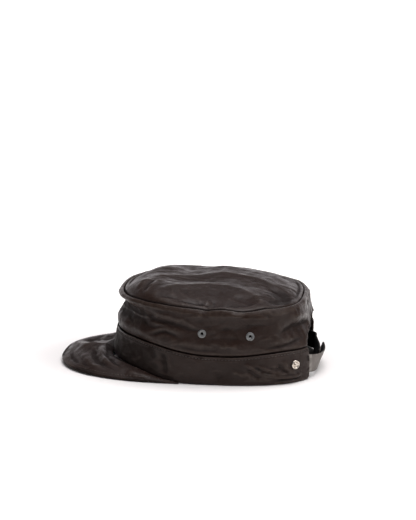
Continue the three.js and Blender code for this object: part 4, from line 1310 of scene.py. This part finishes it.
for node, opening, direction, z in (("snap_near", OPENING_NEAR, -1, SNAP_NEAR_HEIGHT),
                                    ("snap_far", OPENING_FAR, 1, SNAP_FAR_HEIGHT)):
    place, facing = seat(band_outside, inside_from(opening, SNAP_INSET, direction), z)
    piece = spun(node + "_cap", SNAP_PROFILE)
    piece.data.transform(seat_on(place, facing))
    finish(piece, snap_metal, "snap_metal", node)


# Stitching: along the band's top and ends, the peak's rim and the arch over the opening
def run_along(grid, inset, first, last, steps):
    columns = np.linspace(first, last, steps)
    rows = np.interp(columns, np.arange(grid.shape[1]), rows_in(grid, inset))
    return along_grid(grid, rows, columns, STITCH_PITCH)


band_columns = np.arange(band.shape[1], dtype=float)
band_runs = [along_grid(band, rows_in(band, BAND_STITCH_INSET, last=True), band_columns, STITCH_PITCH)]
for column in (8.0, band.shape[1] - 9.0):
    band_runs.append(along_grid(band, np.linspace(3, 40, 30), np.full(30, column), STITCH_PITCH))
finish(stitches("band_stitching", band_runs), thread, "leather", "band")
rim_run = run_along(peak, PEAK_STITCH_INSET, 6, peak.shape[1] - 7, 400)
finish(stitches("peak_stitching", [rim_run]), thread, "leather", "peak")
arch_run = run_along(side, ARCH_STITCH_INSET, WALL_COLUMNS + 3, side.shape[1] - 4, 300)
finish(stitches("arch_stitching", [arch_run]), thread, "leather", "crown_side")


# How far a place on the floor is from the middle of an oval, as a share of the oval's own reach
def away_from(nodes, links, way, centre, half_width, half_length):
    steps = (("SUBTRACT", (*centre, 0)), ("MULTIPLY", (1 / half_width, 1 / half_length, 0)), ("LENGTH", None))
    for operation, amount in steps:
        node = nodes.new("ShaderNodeVectorMath")
        node.operation = operation
        links.new(way, node.inputs[0])
        if amount:
            node.inputs[1].default_value = amount
        way = node.outputs["Value" if operation == "LENGTH" else "Vector"]
    return way


# Pale paper: it glows white away from the cap, a painted light, and has painted shade, a near-black base
# colour, where the cap and its strap enclose it
def lay_floor():
    bpy.ops.mesh.primitive_plane_add(size=30, location=(0, 0, 0))
    floor = bpy.context.object
    floor.name = "floor"
    paper, nodes, links, shader = new_material("pale paper")
    place = nodes.new("ShaderNodeTexCoord").outputs["Object"]
    round_cap = away_from(nodes, links, place, (0, 0), 0.10, 0.15)
    shader.inputs["Emission Color"].default_value = (1, 0.985, 0.96, 1)
    links.new(ranged(nodes, links, round_cap, 0.85, 1.6, 0, 0.45), shader.inputs["Emission Strength"])
    # Painted shade: dark base colour inside the cap and inside the strap's loop
    in_cap = away_from(nodes, links, place, (0, 0.0195), 0.078, 0.100)
    in_strap = away_from(nodes, links, place, (-0.024, 0.106), 0.040, 0.018)
    shade = ranged(nodes, links, summed(nodes, links, in_cap, in_strap, "MINIMUM"), 0.9, 1.05, 0, 1)
    tone = blended(nodes, links, shade, (0.02, 0.019, 0.018), (0.86, 0.85, 0.83))
    links.new(tone, shader.inputs["Base Color"])
    shader.inputs["Roughness"].default_value = 0.9
    shader.inputs["Specular IOR Level"].default_value = 0.1
    floor.data.materials.append(paper)


# White studio: bright overhead and low behind, dim towards the camera
def light_studio():
    world = bpy.data.worlds.new("studio")
    bpy.context.scene.world = world
    world.use_nodes = True
    nodes, links = world.node_tree.nodes, world.node_tree.links
    way = nodes.new("ShaderNodeTexCoord").outputs["Generated"]

    def towards(direction, low, high, to_high):
        node = nodes.new("ShaderNodeVectorMath")
        node.operation = "DOT_PRODUCT"
        node.inputs[1].default_value = Vector(direction).normalized()
        links.new(way, node.inputs[0])
        return ranged(nodes, links, node.outputs["Value"], low, high, 0, to_high)

    overhead = towards((-0.02, 0.15, 1.0), 0.8, 1, 4.4)
    behind = towards((-0.99, -0.14, 0), 0.55, 0.95, 1.3)
    above = towards((0, 0, 1), 0.2, 0.5, 1)
    low_behind = summed(nodes, links, behind, summed(nodes, links, 1, above, "SUBTRACT"), "MULTIPLY")
    strength = summed(nodes, links, summed(nodes, links, overhead, low_behind), 0.12)
    links.new(strength, nodes["Background"].inputs["Strength"])
    nodes["Background"].inputs["Color"].default_value = (1, 0.965, 0.995, 1)


def softbox(name, place, target, size, power):
    light = bpy.data.lights.new(name, "AREA")
    light.shape = "RECTANGLE"
    light.size, light.size_y = size
    light.energy = power
    lamp = bpy.data.objects.new(name, light)
    bpy.context.collection.objects.link(lamp)
    lamp.location = place
    lamp.rotation_euler = (Vector(target) - Vector(place)).to_track_quat("-Z", "Y").to_euler()


CAMERA_TURN = 8 * DEGREE
CAMERA_RISE = 13 * DEGREE
CAMERA_AWAY = 1.5
CAMERA_LOOK = Vector((0, 0.0146, 0.1034))
CAMERA_REACH = 1500 / 520


# Camera above and a little behind the near side, with its reach as the focal length in picture heights
def place_camera():
    toward = Vector((math.cos(CAMERA_TURN) * math.cos(CAMERA_RISE),
                     math.sin(CAMERA_TURN) * math.cos(CAMERA_RISE), math.sin(CAMERA_RISE)))
    lens = bpy.data.cameras.new("camera")
    lens.sensor_width = 36
    lens.lens = lens.sensor_width * CAMERA_REACH
    camera = bpy.data.objects.new("camera", lens)
    bpy.context.collection.objects.link(camera)
    camera.location = CAMERA_LOOK + toward * CAMERA_AWAY
    camera.rotation_euler = (-toward).to_track_quat("-Z", "Y").to_euler()
    bpy.context.scene.camera = camera


lay_floor()
light_studio()
softbox("overhead softbox", (0.1, 0.5, 1.3), (0, 0, 0.05), (0.8, 0.8), 3)
softbox("rear softbox", (0.38, 1.0, 0.5), (0.04, 0.08, 0.02), (0.35, 0.35), 2.2)
bpy.context.scene.view_settings.view_transform = "Standard"
place_camera()
